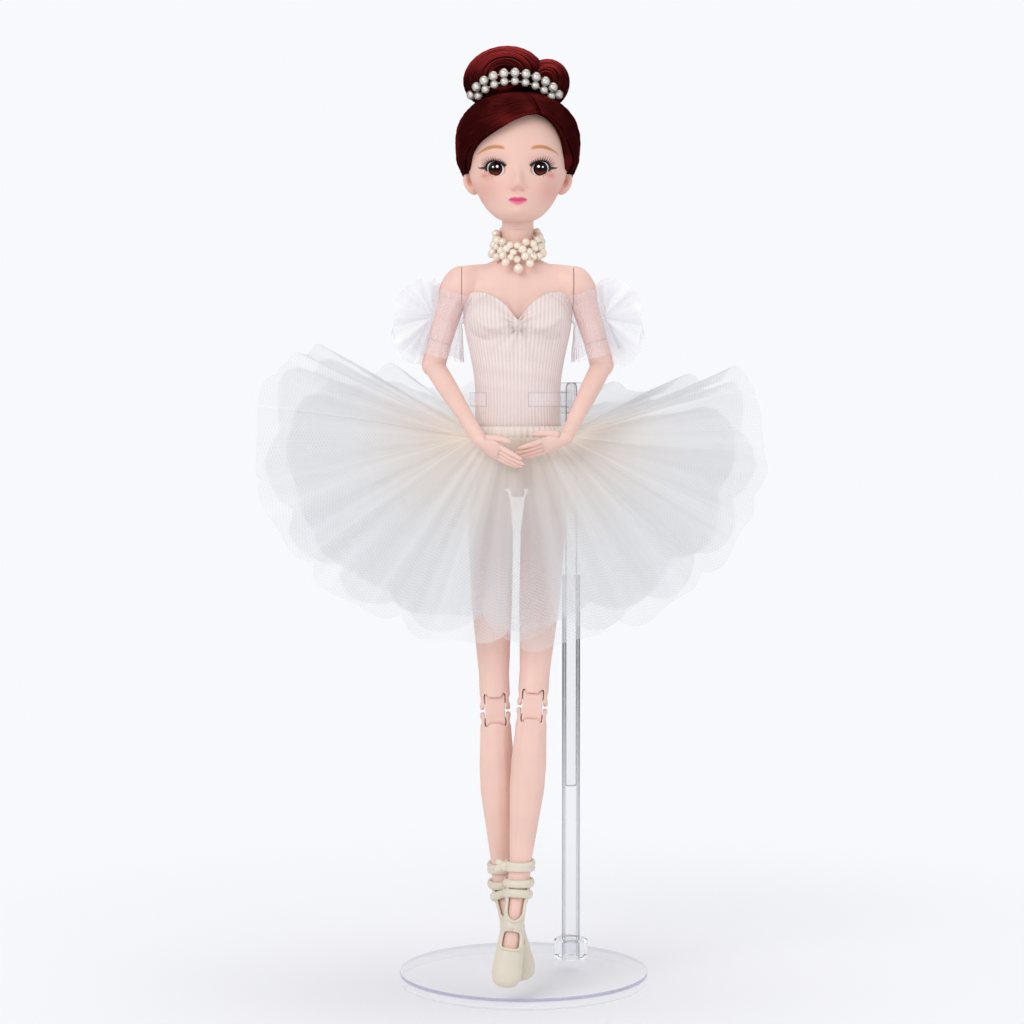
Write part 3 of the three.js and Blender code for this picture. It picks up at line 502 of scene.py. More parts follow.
@dataclass(frozen=True)
class Finishes:
    """Every finish of the doll and its stand."""

    skin: Finish = Plastic("skin_plastic", "skin_plastic", srgb(240, 202, 189), 0.45, 0.12)
    face: Finish = Painted("face_vinyl", "face_vinyl", 0.5, subsurface=0.12, shine=0.2)
    # The eye's paint glows a little: painted light that keeps the eyes bright in the socket's shade.
    eye: Finish = Painted("eye_acrylic", "eye_acrylic", 0.25, glow=0.22, shine=0.08)
    lash: Finish = Plastic("lash_fibre", "lash_fibre", (0.006, 0.003, 0.003, 1.0), 0.8)
    hair: Finish = HairFibre("hair", "hair")
    pearl: Finish = PearlCoat("pearl", "pearl")
    bead: Finish = BeadWithPaintedReflections("glass_bead", "pearl")
    knit: Finish = RibKnit("rib_knit", "rib_knit")
    tulle: Finish = Net("tulle", "tulle", srgb(228, 229, 232), 0.42, sheer=0.34)
    lining: Finish = Net("tulle_lining", "tulle", srgb(230, 227, 226), 0.5, sheer=0.34)
    band: Finish = Net("tulle_band", "tulle", srgb(240, 229, 223), 0.7, 0.3)
    sheer: Finish = Net("tulle_sheer", "tulle", srgb(240, 236, 244), 0.26, 0.0)
    puff: Finish = Net("tulle_puff", "tulle", srgb(250, 250, 253), 0.34, 0.0)
    shoe: Finish = Plastic("shoe_vinyl", "shoe_vinyl", srgb(228, 218, 200), 0.32, 0.05)
    clear: Finish = Acrylic("clear_acrylic", "clear_acrylic")
    tube: Finish = AcrylicTube("clear_acrylic_tube", "clear_acrylic")
    sheet: Finish = AcrylicSheet("clear_acrylic_sheet", "clear_acrylic")
    frosted: Finish = AcrylicSheet("clear_acrylic_frosted", "clear_acrylic", 0.24, 0.2, 3.4, 0.0007)
    rim: Finish = AcrylicRim("clear_acrylic_rim", "clear_acrylic")


class Batch:
    """Several parts of one piece, gathered into one mesh, in millimetres."""

    def __init__(self) -> None:
        """Start with nothing."""
        self.points: Path = []
        self.faces: list[tuple[int, ...]] = []
        self.chart: list[Pair] = []
        self.paint: list[Colour] = []

    def grid(self, rows: int, columns: int, place: Callable[[int, int], tuple], wrap: bool = True, flip: bool = False,
             caps: tuple[bool, bool] = (False, False), keep: Callable[[int, int], bool] = lambda i, j: True) -> None:
        """Add rows of points and the faces between them.

        Args:
            rows: steps down.
            columns: steps across.
            place: point, map and, on a painted piece, paint at a row and a column.
            wrap: whether the last column meets the first.
            flip: whether the faces turn the other way.
            caps: whether the first and the last row are closed with a face.
            keep: which of the faces are made.
        """
        base, stride = len(self.points), columns if wrap else columns + 1
        for i in range(rows + 1):
            for j in range(stride):
                point, chart, *paint = place(i, j)
                self.points.append(point)
                self.chart.append(chart)
                self.paint += paint
        for i in range(rows):
            for j in range(columns):
                if keep(i, j):
                    a, b = base + i * stride + j, base + i * stride + (j + 1) % stride
                    self.faces.append((a, a + stride, b + stride, b) if flip else (a, b, b + stride, a + stride))
        if caps[0]:
            self.faces.append(tuple(range(base + columns - 1, base - 1, -1)))
        if caps[1]:
            self.faces.append(tuple(range(base + rows * stride, base + (rows + 1) * stride)))

    def tube(self, path: Path, radii: list[float], sides: int = 6, flat: float = 1.0, out: Vector | None = None,
             chart: Callable[[float, float], Pair] = lambda across, along: (across, along)) -> None:
        """Add a closed tube along a path, round or flattened towards a direction.

        Args:
            path: centre points.
            radii: radius at each point.
            sides: corners of the section.
            flat: thickness as a share of the width.
            out: direction in which the tube is thin.
            chart: map of a place across and a length along.
        """
        thin, length, rings = out or Vector((0.0, 0.0, 1.0)), 0.0, []
        for i, centre in enumerate(path):
            ahead = (path[min(i + 1, len(path) - 1)] - path[max(i - 1, 0)]).normalized()
            length += (centre - path[i - 1]).length if i else 0.0
            thin = (thin - ahead * thin.dot(ahead)).normalized()
            rings.append((centre, ahead.cross(thin), thin * flat, length))

        def place(i: int, j: int) -> tuple[Vector, Pair]:
            """Point and map of a corner of a ring."""
            centre, across, outward, along = rings[i]
            turn = math.tau * j / sides
            point = centre + (across * math.cos(turn) + outward * math.sin(turn)) * radii[i]
            return point, chart(j / sides, along)

        self.grid(len(path) - 1, sides, place, caps=(True, True))

    def loft(self, rows: list[tuple], at: Matrix, sides: int = 40, steps: int = 4) -> None:
        """Add a closed form through elliptical stations.

        Args:
            rows: stations of height, half width, half depth and centre.
            at: frame of the stations.
            sides: steps round.
            steps: rows between two stations.
        """
        rows = sorted(wide(rows))
        heights = [a[0] + (b[0] - a[0]) * i / steps for a, b in zip(rows, rows[1:]) for i in range(steps)]
        heights.append(rows[-1][0])

        def place(i: int, j: int) -> tuple[Vector, Pair]:
            """Point and map of a step round a row."""
            turn = math.tau * j / sides
            return at @ oval(rows, turn, heights[i]), (turn, heights[i])

        self.grid(len(heights) - 1, sides, place, caps=(True, True))

    def piece(self, name: str, finish: Finish, body: str | None, *stands_for: str) -> bpy.types.Object:
        """Make the Blender object at the origin, with its finish and body, and hide the CAD nodes that it stands for.

        Args:
            name: name of the piece.
            finish: its finish.
            body: CAD body that it rides on, or None to leave it unattached.
            stands_for: CAD nodes that it replaces.

        Returns:
            The object.
        """
        mesh = bpy.data.meshes.new(name)
        mesh.from_pydata([(point + DOLL) * MM for point in self.points], [], self.faces)
        layer = mesh.uv_layers.new(name="map")
        for loop in mesh.loops:
            layer.data[loop.index].uv = self.chart[loop.vertex_index]
        if self.paint:
            tint = mesh.color_attributes.new("paint", "FLOAT_COLOR", "POINT")
            for spot, colour in zip(tint.data, self.paint):
                spot.color = colour
        mesh.shade_smooth()
        mesh.update()
        obj = bpy.data.objects.new(name, mesh)
        bpy.context.collection.objects.link(obj)
        return dressed(obj, finish, body, *stands_for)


def dressed(obj: bpy.types.Object, finish: Finish, body: str | None, *stands_for: str) -> bpy.types.Object:
    """Give a finished shape its material and body, and hide the CAD nodes that it stands for.

    Args:
        obj: the piece.
        finish: its finish.
        body: CAD body that it rides on, or None to leave it unattached.
        stands_for: CAD nodes that it replaces.

    Returns:
        The piece.
    """
    obj.data.materials.append(finish.material())
    if body:
        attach(obj, body)
    if stands_for:
        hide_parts(*stands_for)
    LOG.info("%s: %d faces", obj.name, len(obj.data.polygons))
    return obj


def between(rows: list[Station], z: float) -> Station:
    """Smoothly interpolated station at a height.

    Args:
        rows: stations, each starting with its height.
        z: wanted height.

    Returns:
        The station at that height.
    """
    ordered = sorted(rows)
    if z <= ordered[0][0]:
        return ordered[0]
    for i, (low, high) in enumerate(zip(ordered, ordered[1:])):
        if z <= high[0]:
            before, after = ordered[max(i - 1, 0)], ordered[min(i + 2, len(ordered) - 1)]
            span = high[0] - low[0]
            t = (z - low[0]) / span
            stay, reach = 2 * t**3 - 3 * t**2 + 1, -2 * t**3 + 3 * t**2
            leave, arrive = t**3 - 2 * t**2 + t, t**3 - t**2
            values = [stay * low[k] + reach * high[k]
                      + leave * (high[k] - before[k]) / max(high[0] - before[0], MERGE) * span
                      + arrive * (after[k] - low[k]) / max(after[0] - low[0], MERGE) * span
                      for k in range(1, len(low))]
            return (z, *values)
    return ordered[-1]


def wide(rows: list[tuple]) -> list[Station]:
    """Stations padded with zero centre offsets."""
    return [(*row, *(0.0,) * (5 - len(row))) for row in rows]


def oval(rows: list[Station], turn: float, z: float, lift: float = 0.0) -> Vector:
    """Point round elliptical stations.

    Args:
        rows: stations of height, half width, half depth and centre.
        turn: angle from straight ahead in radians.
        z: height.
        lift: distance outside them.

    Returns:
        The point.
    """
    _, half_x, half_y, x0, y0 = between(rows, z)
    return Vector((x0 + (half_x + lift) * math.sin(turn), y0 - (half_y + lift) * math.cos(turn), z))


def ball_point(polar: float, turn: float) -> Vector:
    """Point of a unit ball whose poles lie along Y, in radians from the front pole and about it."""
    return Vector((math.sin(polar) * math.cos(turn), -math.cos(polar), math.sin(polar) * math.sin(turn)))


def ease(low: float, high: float, value: float) -> float:
    """Smooth step from 0 at low to 1 at high."""
    t = min(max((value - low) / (high - low), 0.0), 1.0)
    return t * t * (3 - 2 * t)


def bell(*terms: tuple[float, float, float]) -> float:
    """Product of bell curves, each given as a value, its middle and its half width."""
    return math.exp(-sum(((value - middle) / half) ** 2 for value, middle, half in terms))


def facing(degrees: float) -> float:
    """The same angle, from -180 to 180 degrees."""
    return (degrees + 180) % 360 - 180


def turned(x: float = 0.0, y: float = 0.0, z: float = 0.0) -> Matrix:
    """Turns about X, then Y, then Z, in degrees."""
    return (Matrix.Rotation(math.radians(x), 4, "X") @ Matrix.Rotation(math.radians(y), 4, "Y")
            @ Matrix.Rotation(math.radians(z), 4, "Z"))


def moved(x: float, y: float, z: float) -> Matrix:
    """Shift in millimetres."""
    return Matrix.Translation((x, y, z))


def cloth_area(piece: bpy.types.Object) -> float:
    """Area of a cloth's faces in square metres."""
    return sum(polygon.area for polygon in piece.data.polygons)


def bead(batch: Batch, centre: Vector, radius: float, sides: int = 24) -> None:
    """Add a round bead.

    Args:
        batch: mesh to add to.
        centre: its centre.
        radius: its radius.
        sides: its steps round.
    """
    rings, base = sides // 2, len(batch.points)

    def place(i: int, j: int) -> tuple[Vector, Pair]:
        """Point of a ring between the poles."""
        polar, turn = math.pi * (i + 1) / rings, math.tau * j / sides
        off = Vector((math.sin(polar) * math.cos(turn), math.sin(polar) * math.sin(turn), math.cos(polar)))
        return centre + off * radius, (0.0, 0.0)

    batch.grid(rings - 2, sides, place, flip=True)
    top = len(batch.points)
    batch.points += [centre + Vector((0, 0, radius)), centre - Vector((0, 0, radius))]
    batch.chart += [(0.0, 0.0)] * 2
    last = top - sides
    for j in range(sides):
        k = (j + 1) % sides
        batch.faces += [(top, base + j, base + k), (top + 1, last + k, last + j)]


@dataclass(frozen=True)
class Side:
    """Rest angles in degrees and lengths in millimetres of one arm and leg."""

    name: str
    sign: int
    swing: float
    lift: float
    twist: float
    elbow: float
    forearm: float
    turn: float
    wrist: float
    hip: float
    spread: float
    knee: float
    roll: float
    point: float
    foot: float

    def arm(self) -> Matrix:
        """Frame of the upper arm at the shoulder."""
        return moved(self.sign * 20.8, 0, 232) @ turned(self.swing, self.lift)

    def elbow_cup(self) -> Matrix:
        """Frame of the upper arm, turned as its lower half is."""
        return self.arm() @ turned(z=self.twist)

    def elbow_bent(self) -> Matrix:
        """Frame of the forearm at the elbow."""
        return self.elbow_cup() @ moved(0, 0, -27) @ turned(x=self.elbow)

    def hand(self) -> Matrix:
        """Frame of the hand at the wrist: fingers down, palm to +Y."""
        return self.elbow_bent() @ moved(0, 0, -self.forearm) @ turned(z=self.turn) @ turned(x=self.wrist)

    def shin(self) -> Matrix:
        """Frame of the shin with its origin at the ankle."""
        return (moved(self.sign * 9.3, 0, 167) @ turned(self.hip, self.spread) @ moved(0, 0, -74)
                @ turned(x=self.knee) @ moved(0, 0, -7) @ turned(x=self.knee) @ moved(0, 0, -54.5))

    def ankle(self) -> Matrix:
        """Frame of the foot at the ankle: toes down, instep to -Y."""
        return self.shin() @ turned(y=self.roll) @ turned(x=self.point)

    def shoulder(self) -> Matrix:
        """Frame at the trunk's middle, with +Z out through the shoulder."""
        return moved(0, 0.3, 231.8) @ turned(y=90 * self.sign)


SIDES = (Side("left", 1, 6.6, -16.1, -36.7, -60.3, 34.3, 107.6, 51.8, -20.95, 3.93, 9.05, 3.95, -12.3, 33.6),
         Side("right", -1, 6.6, 16.1, 41.1, -62.6, 36.3, -112.8, 26.8, -16.74, -1.9, 9.4, -10.9, -18.1, 32.1))


@dataclass(frozen=True)
class Spot:
    """Soft oval place on both halves of the face: distance and half width across, height and half height."""

    x: float
    wide: float
    z: float
    high: float

    def share(self, x: float, z: float) -> float:
        """How much of it lies at a place."""
        return bell((abs(x), self.x, self.wide), (z, self.z, self.high))


HEAD_AT = Vector((-2.0, 7.9, 256.0)) - DOLL
HEAD_TOP = 39.4
SKIN_PAINT = srgb(238, 198, 183)
EYE_WHITE = srgb(252, 250, 249)
WHITE = srgb(255, 255, 255)
BACK_OF_FACE = 88.0
RELIEFS: tuple[tuple[Spot, float, bool], ...] = (
    (Spot(7.4, 5.2, 14.2, 3.6), -0.9, True),    # hollow round each eye
    (Spot(1.7, 0.8, 8.0, 0.9), 0.7, True),      # wings of the nose
    (Spot(0.0, 2.6, 4.55, 0.75), 0.8, False),   # upper lip
    (Spot(0.0, 2.6, 2.95, 0.85), 0.95, False),  # lower lip
    (Spot(0.0, 2.6, 3.8, 0.22), -0.35, False),  # line between the lips
    (Spot(0.0, 3.4, 0.3, 1.7), 0.9, False),     # chin
    (Spot(8.6, 4.0, 6.8, 3.4), 0.5, False))     # cheeks
WASHES: tuple[tuple[Spot, float, Colour], ...] = (
    (Spot(10.6, 4.4, 7.4, 4.0), 0.5, srgb(226, 158, 146)),    # cheeks
    (Spot(0.0, 1.6, 8.2, 1.4), 0.3, srgb(222, 150, 138)),     # tip of the nose
    # The next wash, at the nostrils, is painted shadow under the tip of the nose.
    (Spot(1.5, 0.7, 7.0, 0.4), 0.42, srgb(196, 118, 102)),    # nostrils
    (Spot(7.6, 3.8, 17.0, 1.6), 0.45, srgb(214, 158, 158)),   # upper lids
    (Spot(10.7, 1.5, 12.1, 0.75), 0.62, srgb(222, 118, 112)))  # outer corners below the eyes
# Catch lights on the eyes, across, up and size: painted reflections of the lamps.
PAINTED_CATCH_LIGHTS = ((-0.62, 0.72, 0.46), (0.75, 0.55, 0.3))


def spun(first: Colour | Vector, second: Colour, share: float) -> Vector:
    """Colour between two, by a share that is held from 0 to 1."""
    return Vector(first).lerp(Vector(second), min(max(share, 0.0), 1.0))


class HeadPart(Batch):
    """Mesh in the head's frame."""

    def piece(self, name: str, finish: Finish, *stands_for: str) -> bpy.types.Object:
        """Make the piece on the head's body."""
        self.points = [point + HEAD_AT for point in self.points]
        return super().piece(name, finish, "head", *stands_for)


@dataclass(frozen=True)
class Face:
    """Face shell with sockets and ears, painted eyes and lashes."""

    finishes: Finishes
    eye: Point = (7.4, -11.6, 14.2)
    eye_radius: float = 4.6
    lid: float = 0.55
    opening: tuple[float, float, float, float] = (2.5, 3.15, 2.25, 2.0)
    rows: tuple[Station, ...] = (
        (-2.4, 3.4, 5.0, 0, -5.4), (-1.8, 5.6, 7.8, 0, -5.0), (-0.2, 8.2, 11.0, 0, -4.2), (2.6, 10.8, 13.3, 0, -3),
        (7.4, 13.6, 15.7, 0, -1.8), (13, 16.0, 17.4, 0, -1), (20, 16.8, 18.2, 0, -0.6), (27, 16, 17.4, 0, -0.4),
        (33, 13, 14.4, 0, 0), (37, 8.4, 9.6, 0, 0), (HEAD_TOP, 2.4, 3, 0, 0))

    def skin_point(self, degrees: float, z: float) -> Vector:
        """Point of the face, with brow, eyes, nose, mouth and chin shaped.

        Args:
            degrees: angle from straight ahead, positive to the right of the picture.
            z: height.

        Returns:
            The point.
        """
        a = math.radians(degrees)
        point = oval(self.rows, a, z)
        if abs(degrees) > BACK_OF_FACE:
            return point
        ahead, x, y = math.cos(a) ** 0.5, point.x, point.y
        for spot, out, fades in RELIEFS:
            y -= out * spot.share(x, z) * (ahead if fades else 1.0)
        bridge = ease(6.9, 8.6, z) * (1 - ease(8.8, 17.5, z)) ** 1.3
        y -= ahead * 2.7 * bridge * bell((x, 0.0, 1.45 + 1.2 * (1 - ease(7, 13, z))))
        reach = math.hypot(abs(x) - self.eye[0], z - self.eye[2])
        dome = self.eye[1] - math.sqrt(max((self.eye_radius + self.lid) ** 2 - reach * reach, 0.0))
        if reach < self.eye_radius + 0.5:
            y += (min(y, dome) - y) * (1 - ease(4.2, 5.1, reach))
        y += 2.4 * (1 - ease(0.97, 1.05, self.almond(x, z)))
        return Vector((x, y, z))

    def almond(self, x: float, z: float) -> float:
        """Distance from the middle of the eye opening as a share of its rim's, at a place across and a height."""
        outer, inner, upper, lower = self.opening
        dx, dz = abs(x) - self.eye[0] - 0.05, z - self.eye[2] + 0.1
        dx /= outer if dx > 0 else inner
        dz -= 0.35 * dx
        return math.sqrt(dx ** 2 + abs(dz / (upper if dz > 0 else lower)) ** 2.2)

    def tint(self, p: Vector) -> Colour:
        """Linear paint of a point on the face."""
        colour, side = Vector(SKIN_PAINT), abs(p.x)
        if p.y > -2.0:
            return tuple(colour)
        for spot, share, shade in WASHES:
            colour = spun(colour, shade, share * spot.share(p.x, p.z))
        t = (side - 4.3) / 9.1
        if -0.06 < t < 1.0:
            half = 0.4 * (1 - ease(0.55, 1.02, t)) * (0.75 + 0.25 * ease(0, 0.3, t)) + 0.06
            line = 1 - ease(half, half + 0.24, abs(p.z - self.brow(side)))
            colour = spun(colour, srgb(203, 138, 84), 0.95 * ease(-0.06, 0.1, t) * line)
        rim = self.almond(p.x, p.z)
        if p.z > self.eye[2] - 0.2 - 0.25 * (side - self.eye[0]):
            colour = spun(colour, (0.02, 0.01, 0.008, 1), 0.99 * (1 - ease(1.28, 1.4, rim)))
            crease = bell((rim, 1.46, 0.05)) * (1 - ease(3.2, 4.4, abs(side - self.eye[0])))
            colour = spun(colour, srgb(120, 70, 62), 0.5 * crease)
        else:
            colour = spun(colour, srgb(150, 92, 80), 0.6 * (1 - ease(1.03, 1.12, rim)))
        if 9.8 < side < 13.2:
            wing = 14.35 + 0.1 * (side - 10.4) + 0.05 * max(side - 10.4, 0) ** 2
            thin = 0.66 * (1 - (side - 9.8) / 3.4) ** 0.8
            colour = spun(colour, (0.03, 0.012, 0.01, 1), 0.95 * (1 - ease(thin, thin + 0.14, abs(p.z - wing))))
        return tuple(self.lips(colour, p.x / 3.25, p.z))

    def lips(self, colour: Vector, x: float, z: float) -> Vector:
        """Colour with the lips painted over it, at a share of the mouth's half width and a height."""
        if abs(x) >= 1.12:
            return colour
        line = 3.85 - 0.12 * math.cos(x * 4.5) + 0.12 * abs(x)
        upper = line + (1.15 - 0.22 * bell((x, 0.0, 0.16))) * max(1 - abs(x) ** 1.7, 0)
        lower = line - 1.5 * max(1 - (x * x) ** 1.25, 0) ** 0.8
        inside = ease(-0.12, 0.1, upper - z) * ease(-0.12, 0.25, z - lower)
        shade = spun(srgb(222, 78, 128), srgb(238, 140, 158), ease(line + 0.1, lower, z) if z < line else 0)
        colour = spun(colour, shade, 0.95 * inside * (1 - 0.5 * ease(0.82, 1.05, abs(x))))
        return spun(colour, srgb(170, 40, 84), 0.55 * bell((z, line, 0.13)) * (1 - ease(0.7, 1, abs(x))))

    def brow(self, side: float) -> float:
        """Height of the brow's middle line at a distance from the face's centre."""
        marks = ((4.3, 20.6), (8.95, 21.15), (13.4, 19.2))
        return sum(z * math.prod((side - other) / (x - other) for other, _ in marks if other != x)
                   for x, z in marks)

    def shell(self) -> None:
        """Build the face shell with its ears, and paint it."""
        turns = [-75 + 0.8 * i for i in range(188)]
        turns += [turns[-1] + (285 - turns[-1]) * i / 40 for i in range(1, 40)]
        heights = [-2.4 + 0.25 * i for i in range(104)]
        heights += [heights[-1] + (HEAD_TOP - heights[-1]) * i / 16 for i in range(1, 17)]
        part = HeadPart()

        def place(i: int, j: int) -> tuple[Vector, Pair, Colour]:
            """Point, map and paint of a step round the face."""
            point = self.skin_point(turns[j] if turns[j] <= 180 else turns[j] - 360, heights[i])
            return point, (0.0, 0.0), self.tint(point)

        part.grid(len(heights) - 1, len(turns), place, caps=(True, True))
        for sign in (-1, 1):
            self.ear(part, sign)
        part.piece("head_shell", self.finishes.face, "head")

    def ear(self, part: Batch, sign: int, rings: int = 26, sides: int = 40) -> None:
        """Add one ear with its rim and hollow.

        Args:
            part: mesh to add to.
            sign: -1 left in the picture, 1 right.
            rings: steps from its front to its back.
            sides: steps round it.
        """
        def place(i: int, j: int) -> tuple[Vector, Pair, Colour]:
            """Point, map and paint of a step round the ear."""
            off = ball_point(math.pi * i / rings, math.tau * j / sides)
            u, v, w = -off.y, off.x, off.z
            dent = 1.1 * bell((v, 0.1, 0.38), (w, 0.05, 0.42)) if u < 0 else 0.0
            point = Vector((sign * (15.5 + 2.7 * v + 0.6 * w), 1.4 + 2.2 * u + dent * 1.1 - 0.8 * v,
                            11.4 + 4.3 * w * (1 - 0.12 * v)))
            # The ear's hollow is painted darker and redder by its depth: painted shade in the recess.
            return point, (0.0, 0.0), tuple(spun(srgb(238, 196, 180), srgb(214, 140, 124), dent * 0.6))

        part.grid(rings, sides, place, flip=sign > 0)

    def eyes(self, rings: int = 60, sides: int = 64) -> None:
        """Build both eyeballs, painted with iris, pupil, and catch lights that are painted reflections of the lamps.

        Args:
            rings: steps from the pupil to the back, closer in front.
            sides: steps round the eye's axis.
        """
        part = HeadPart()
        for sign in (-1, 1):
            centre = Vector((sign * self.eye[0], *self.eye[1:]))

            def place(i: int, j: int) -> tuple[Vector, Pair, Colour]:
                """Point, map and paint of a step round the ball."""
                polar, turn = math.pi * (i / rings) ** 1.5, math.tau * j / sides
                off = ball_point(polar, turn)
                paint = self.iris(math.sin(polar) * self.eye_radius, turn, off, sign)
                return centre + off * self.eye_radius, (0.0, 0.0), paint

            part.grid(rings, sides, place, flip=True)
        part.piece("eyeballs", self.finishes.eye, "left_eye", "right_eye")

    def iris(self, reach: float, turn: float, off: Vector, sign: int) -> Colour:
        """Paint of a point on an eyeball.

        Args:
            reach: distance from the eye's axis.
            turn: angle about it in radians.
            off: the point on a unit ball.
            sign: -1 left in the picture, 1 right.

        Returns:
            Linear colour.
        """
        if off.y >= 0:
            return EYE_WHITE
        fleck = 0.5 + 0.5 * math.sin(turn * 23 + 2 * math.sin(turn * 7))
        inner = spun(srgb(24, 7, 6), srgb(118, 52, 30), ease(-0.02, -0.5, off.z) * (0.55 + 0.45 * fleck))
        colour = spun(srgb(16, 7, 7), inner, ease(0.85, 1.05, reach))
        colour = spun(colour, srgb(24, 10, 9), ease(1.85, 2.1, reach))
        colour = spun(colour, EYE_WHITE, ease(2.28, 2.42, reach))
        # White catch lights: painted reflections of the lamps.
        for across, up, size in PAINTED_CATCH_LIGHTS:
            gap = math.hypot(off.x * sign * self.eye_radius - across, off.z * self.eye_radius - up)
            colour = spun(colour, WHITE, 1 - ease(size * 0.75, size, gap))
        return tuple(colour)

    def lashes(self, upper: int = 13, lower: int = 5) -> None:
        """Build the lashes of both eyes, with a count for each lid."""
        part = HeadPart()
        for sign in (-1, 1):
            for i in range(upper):
                t = i / (upper - 1)
                turn = math.radians(150 - 138 * t)
                across = (3.1 if i > 6 else 3.4) * math.cos(turn)
                up = 2.35 * math.sin(turn) + 0.28 * math.cos(turn)
                root = self.on_face(sign * (self.eye[0] + across), self.eye[2] + up)
                way = Vector((sign * (math.cos(turn) * 0.9 + 0.35 * t), -0.55, math.sin(turn) * 0.9 + 0.12))
                reach = way.normalized() * (0.95 + 1.15 * ease(0.2, 1.0, t))
                curl = Vector((0, -0.15, 0.35)) * reach.length
                part.tube([root + reach * s + curl * s * s for s in (-0.1, 0.35, 0.7, 1.0)],
                          [0.13, 0.11, 0.07, 0.02], 5)
            for i in range(lower):
                root = self.on_face(sign * (self.eye[0] + 0.9 + 0.62 * i), self.eye[2] - 2.25 + 0.36 * i)
                way = Vector((sign * 0.5, -0.3, -0.8)).normalized()
                part.tube([root + way * s for s in (-0.05, 0.35, 0.62)], [0.06, 0.05, 0.015], 4)
        part.piece("lashes", self.finishes.lash, "left_eyelashes", "right_eyelashes")

    def on_face(self, x: float, z: float) -> Vector:
        """Point of the face at a place across and a height, found by turning until its place across fits."""
        low, high = -80.0, 80.0
        for _ in range(24):
            middle = (low + high) / 2
            low, high = (middle, high) if self.skin_point(middle, z).x < x else (low, middle)
        return self.skin_point(low, z)

    def build(self) -> None:
        """Build the face, the eyes and the lashes."""
        self.shell()
        self.eyes()
        self.lashes()


@dataclass(frozen=True)
class Roll:
    """One coiled roll of the bun: its centre, half sizes, lean in radians and number of strands."""

    centre: Point
    size: Point
    lean: float
    strands: int

    def surface(self, polar: float, turn: float, lift: float) -> Vector:
        """Point on the roll, pinched in front, at a height over it."""
        off = ball_point(polar, turn)
        pinch = 1 - 0.16 * ease(0.6, 0.0, polar)
        reach = [size + lift for size in self.size]
        place = Vector((off.x * reach[0], off.y * reach[1] * pinch, off.z * reach[2]))
        return Vector(self.centre) + Matrix.Rotation(self.lean, 3, "Y") @ place

    def holds(self, point: Vector) -> bool:
        """Whether a point lies inside the roll."""
        off = Matrix.Rotation(-self.lean, 3, "Y") @ (point - Vector(self.centre))
        return sum((off[k] / self.size[k]) ** 2 for k in range(3)) < 1


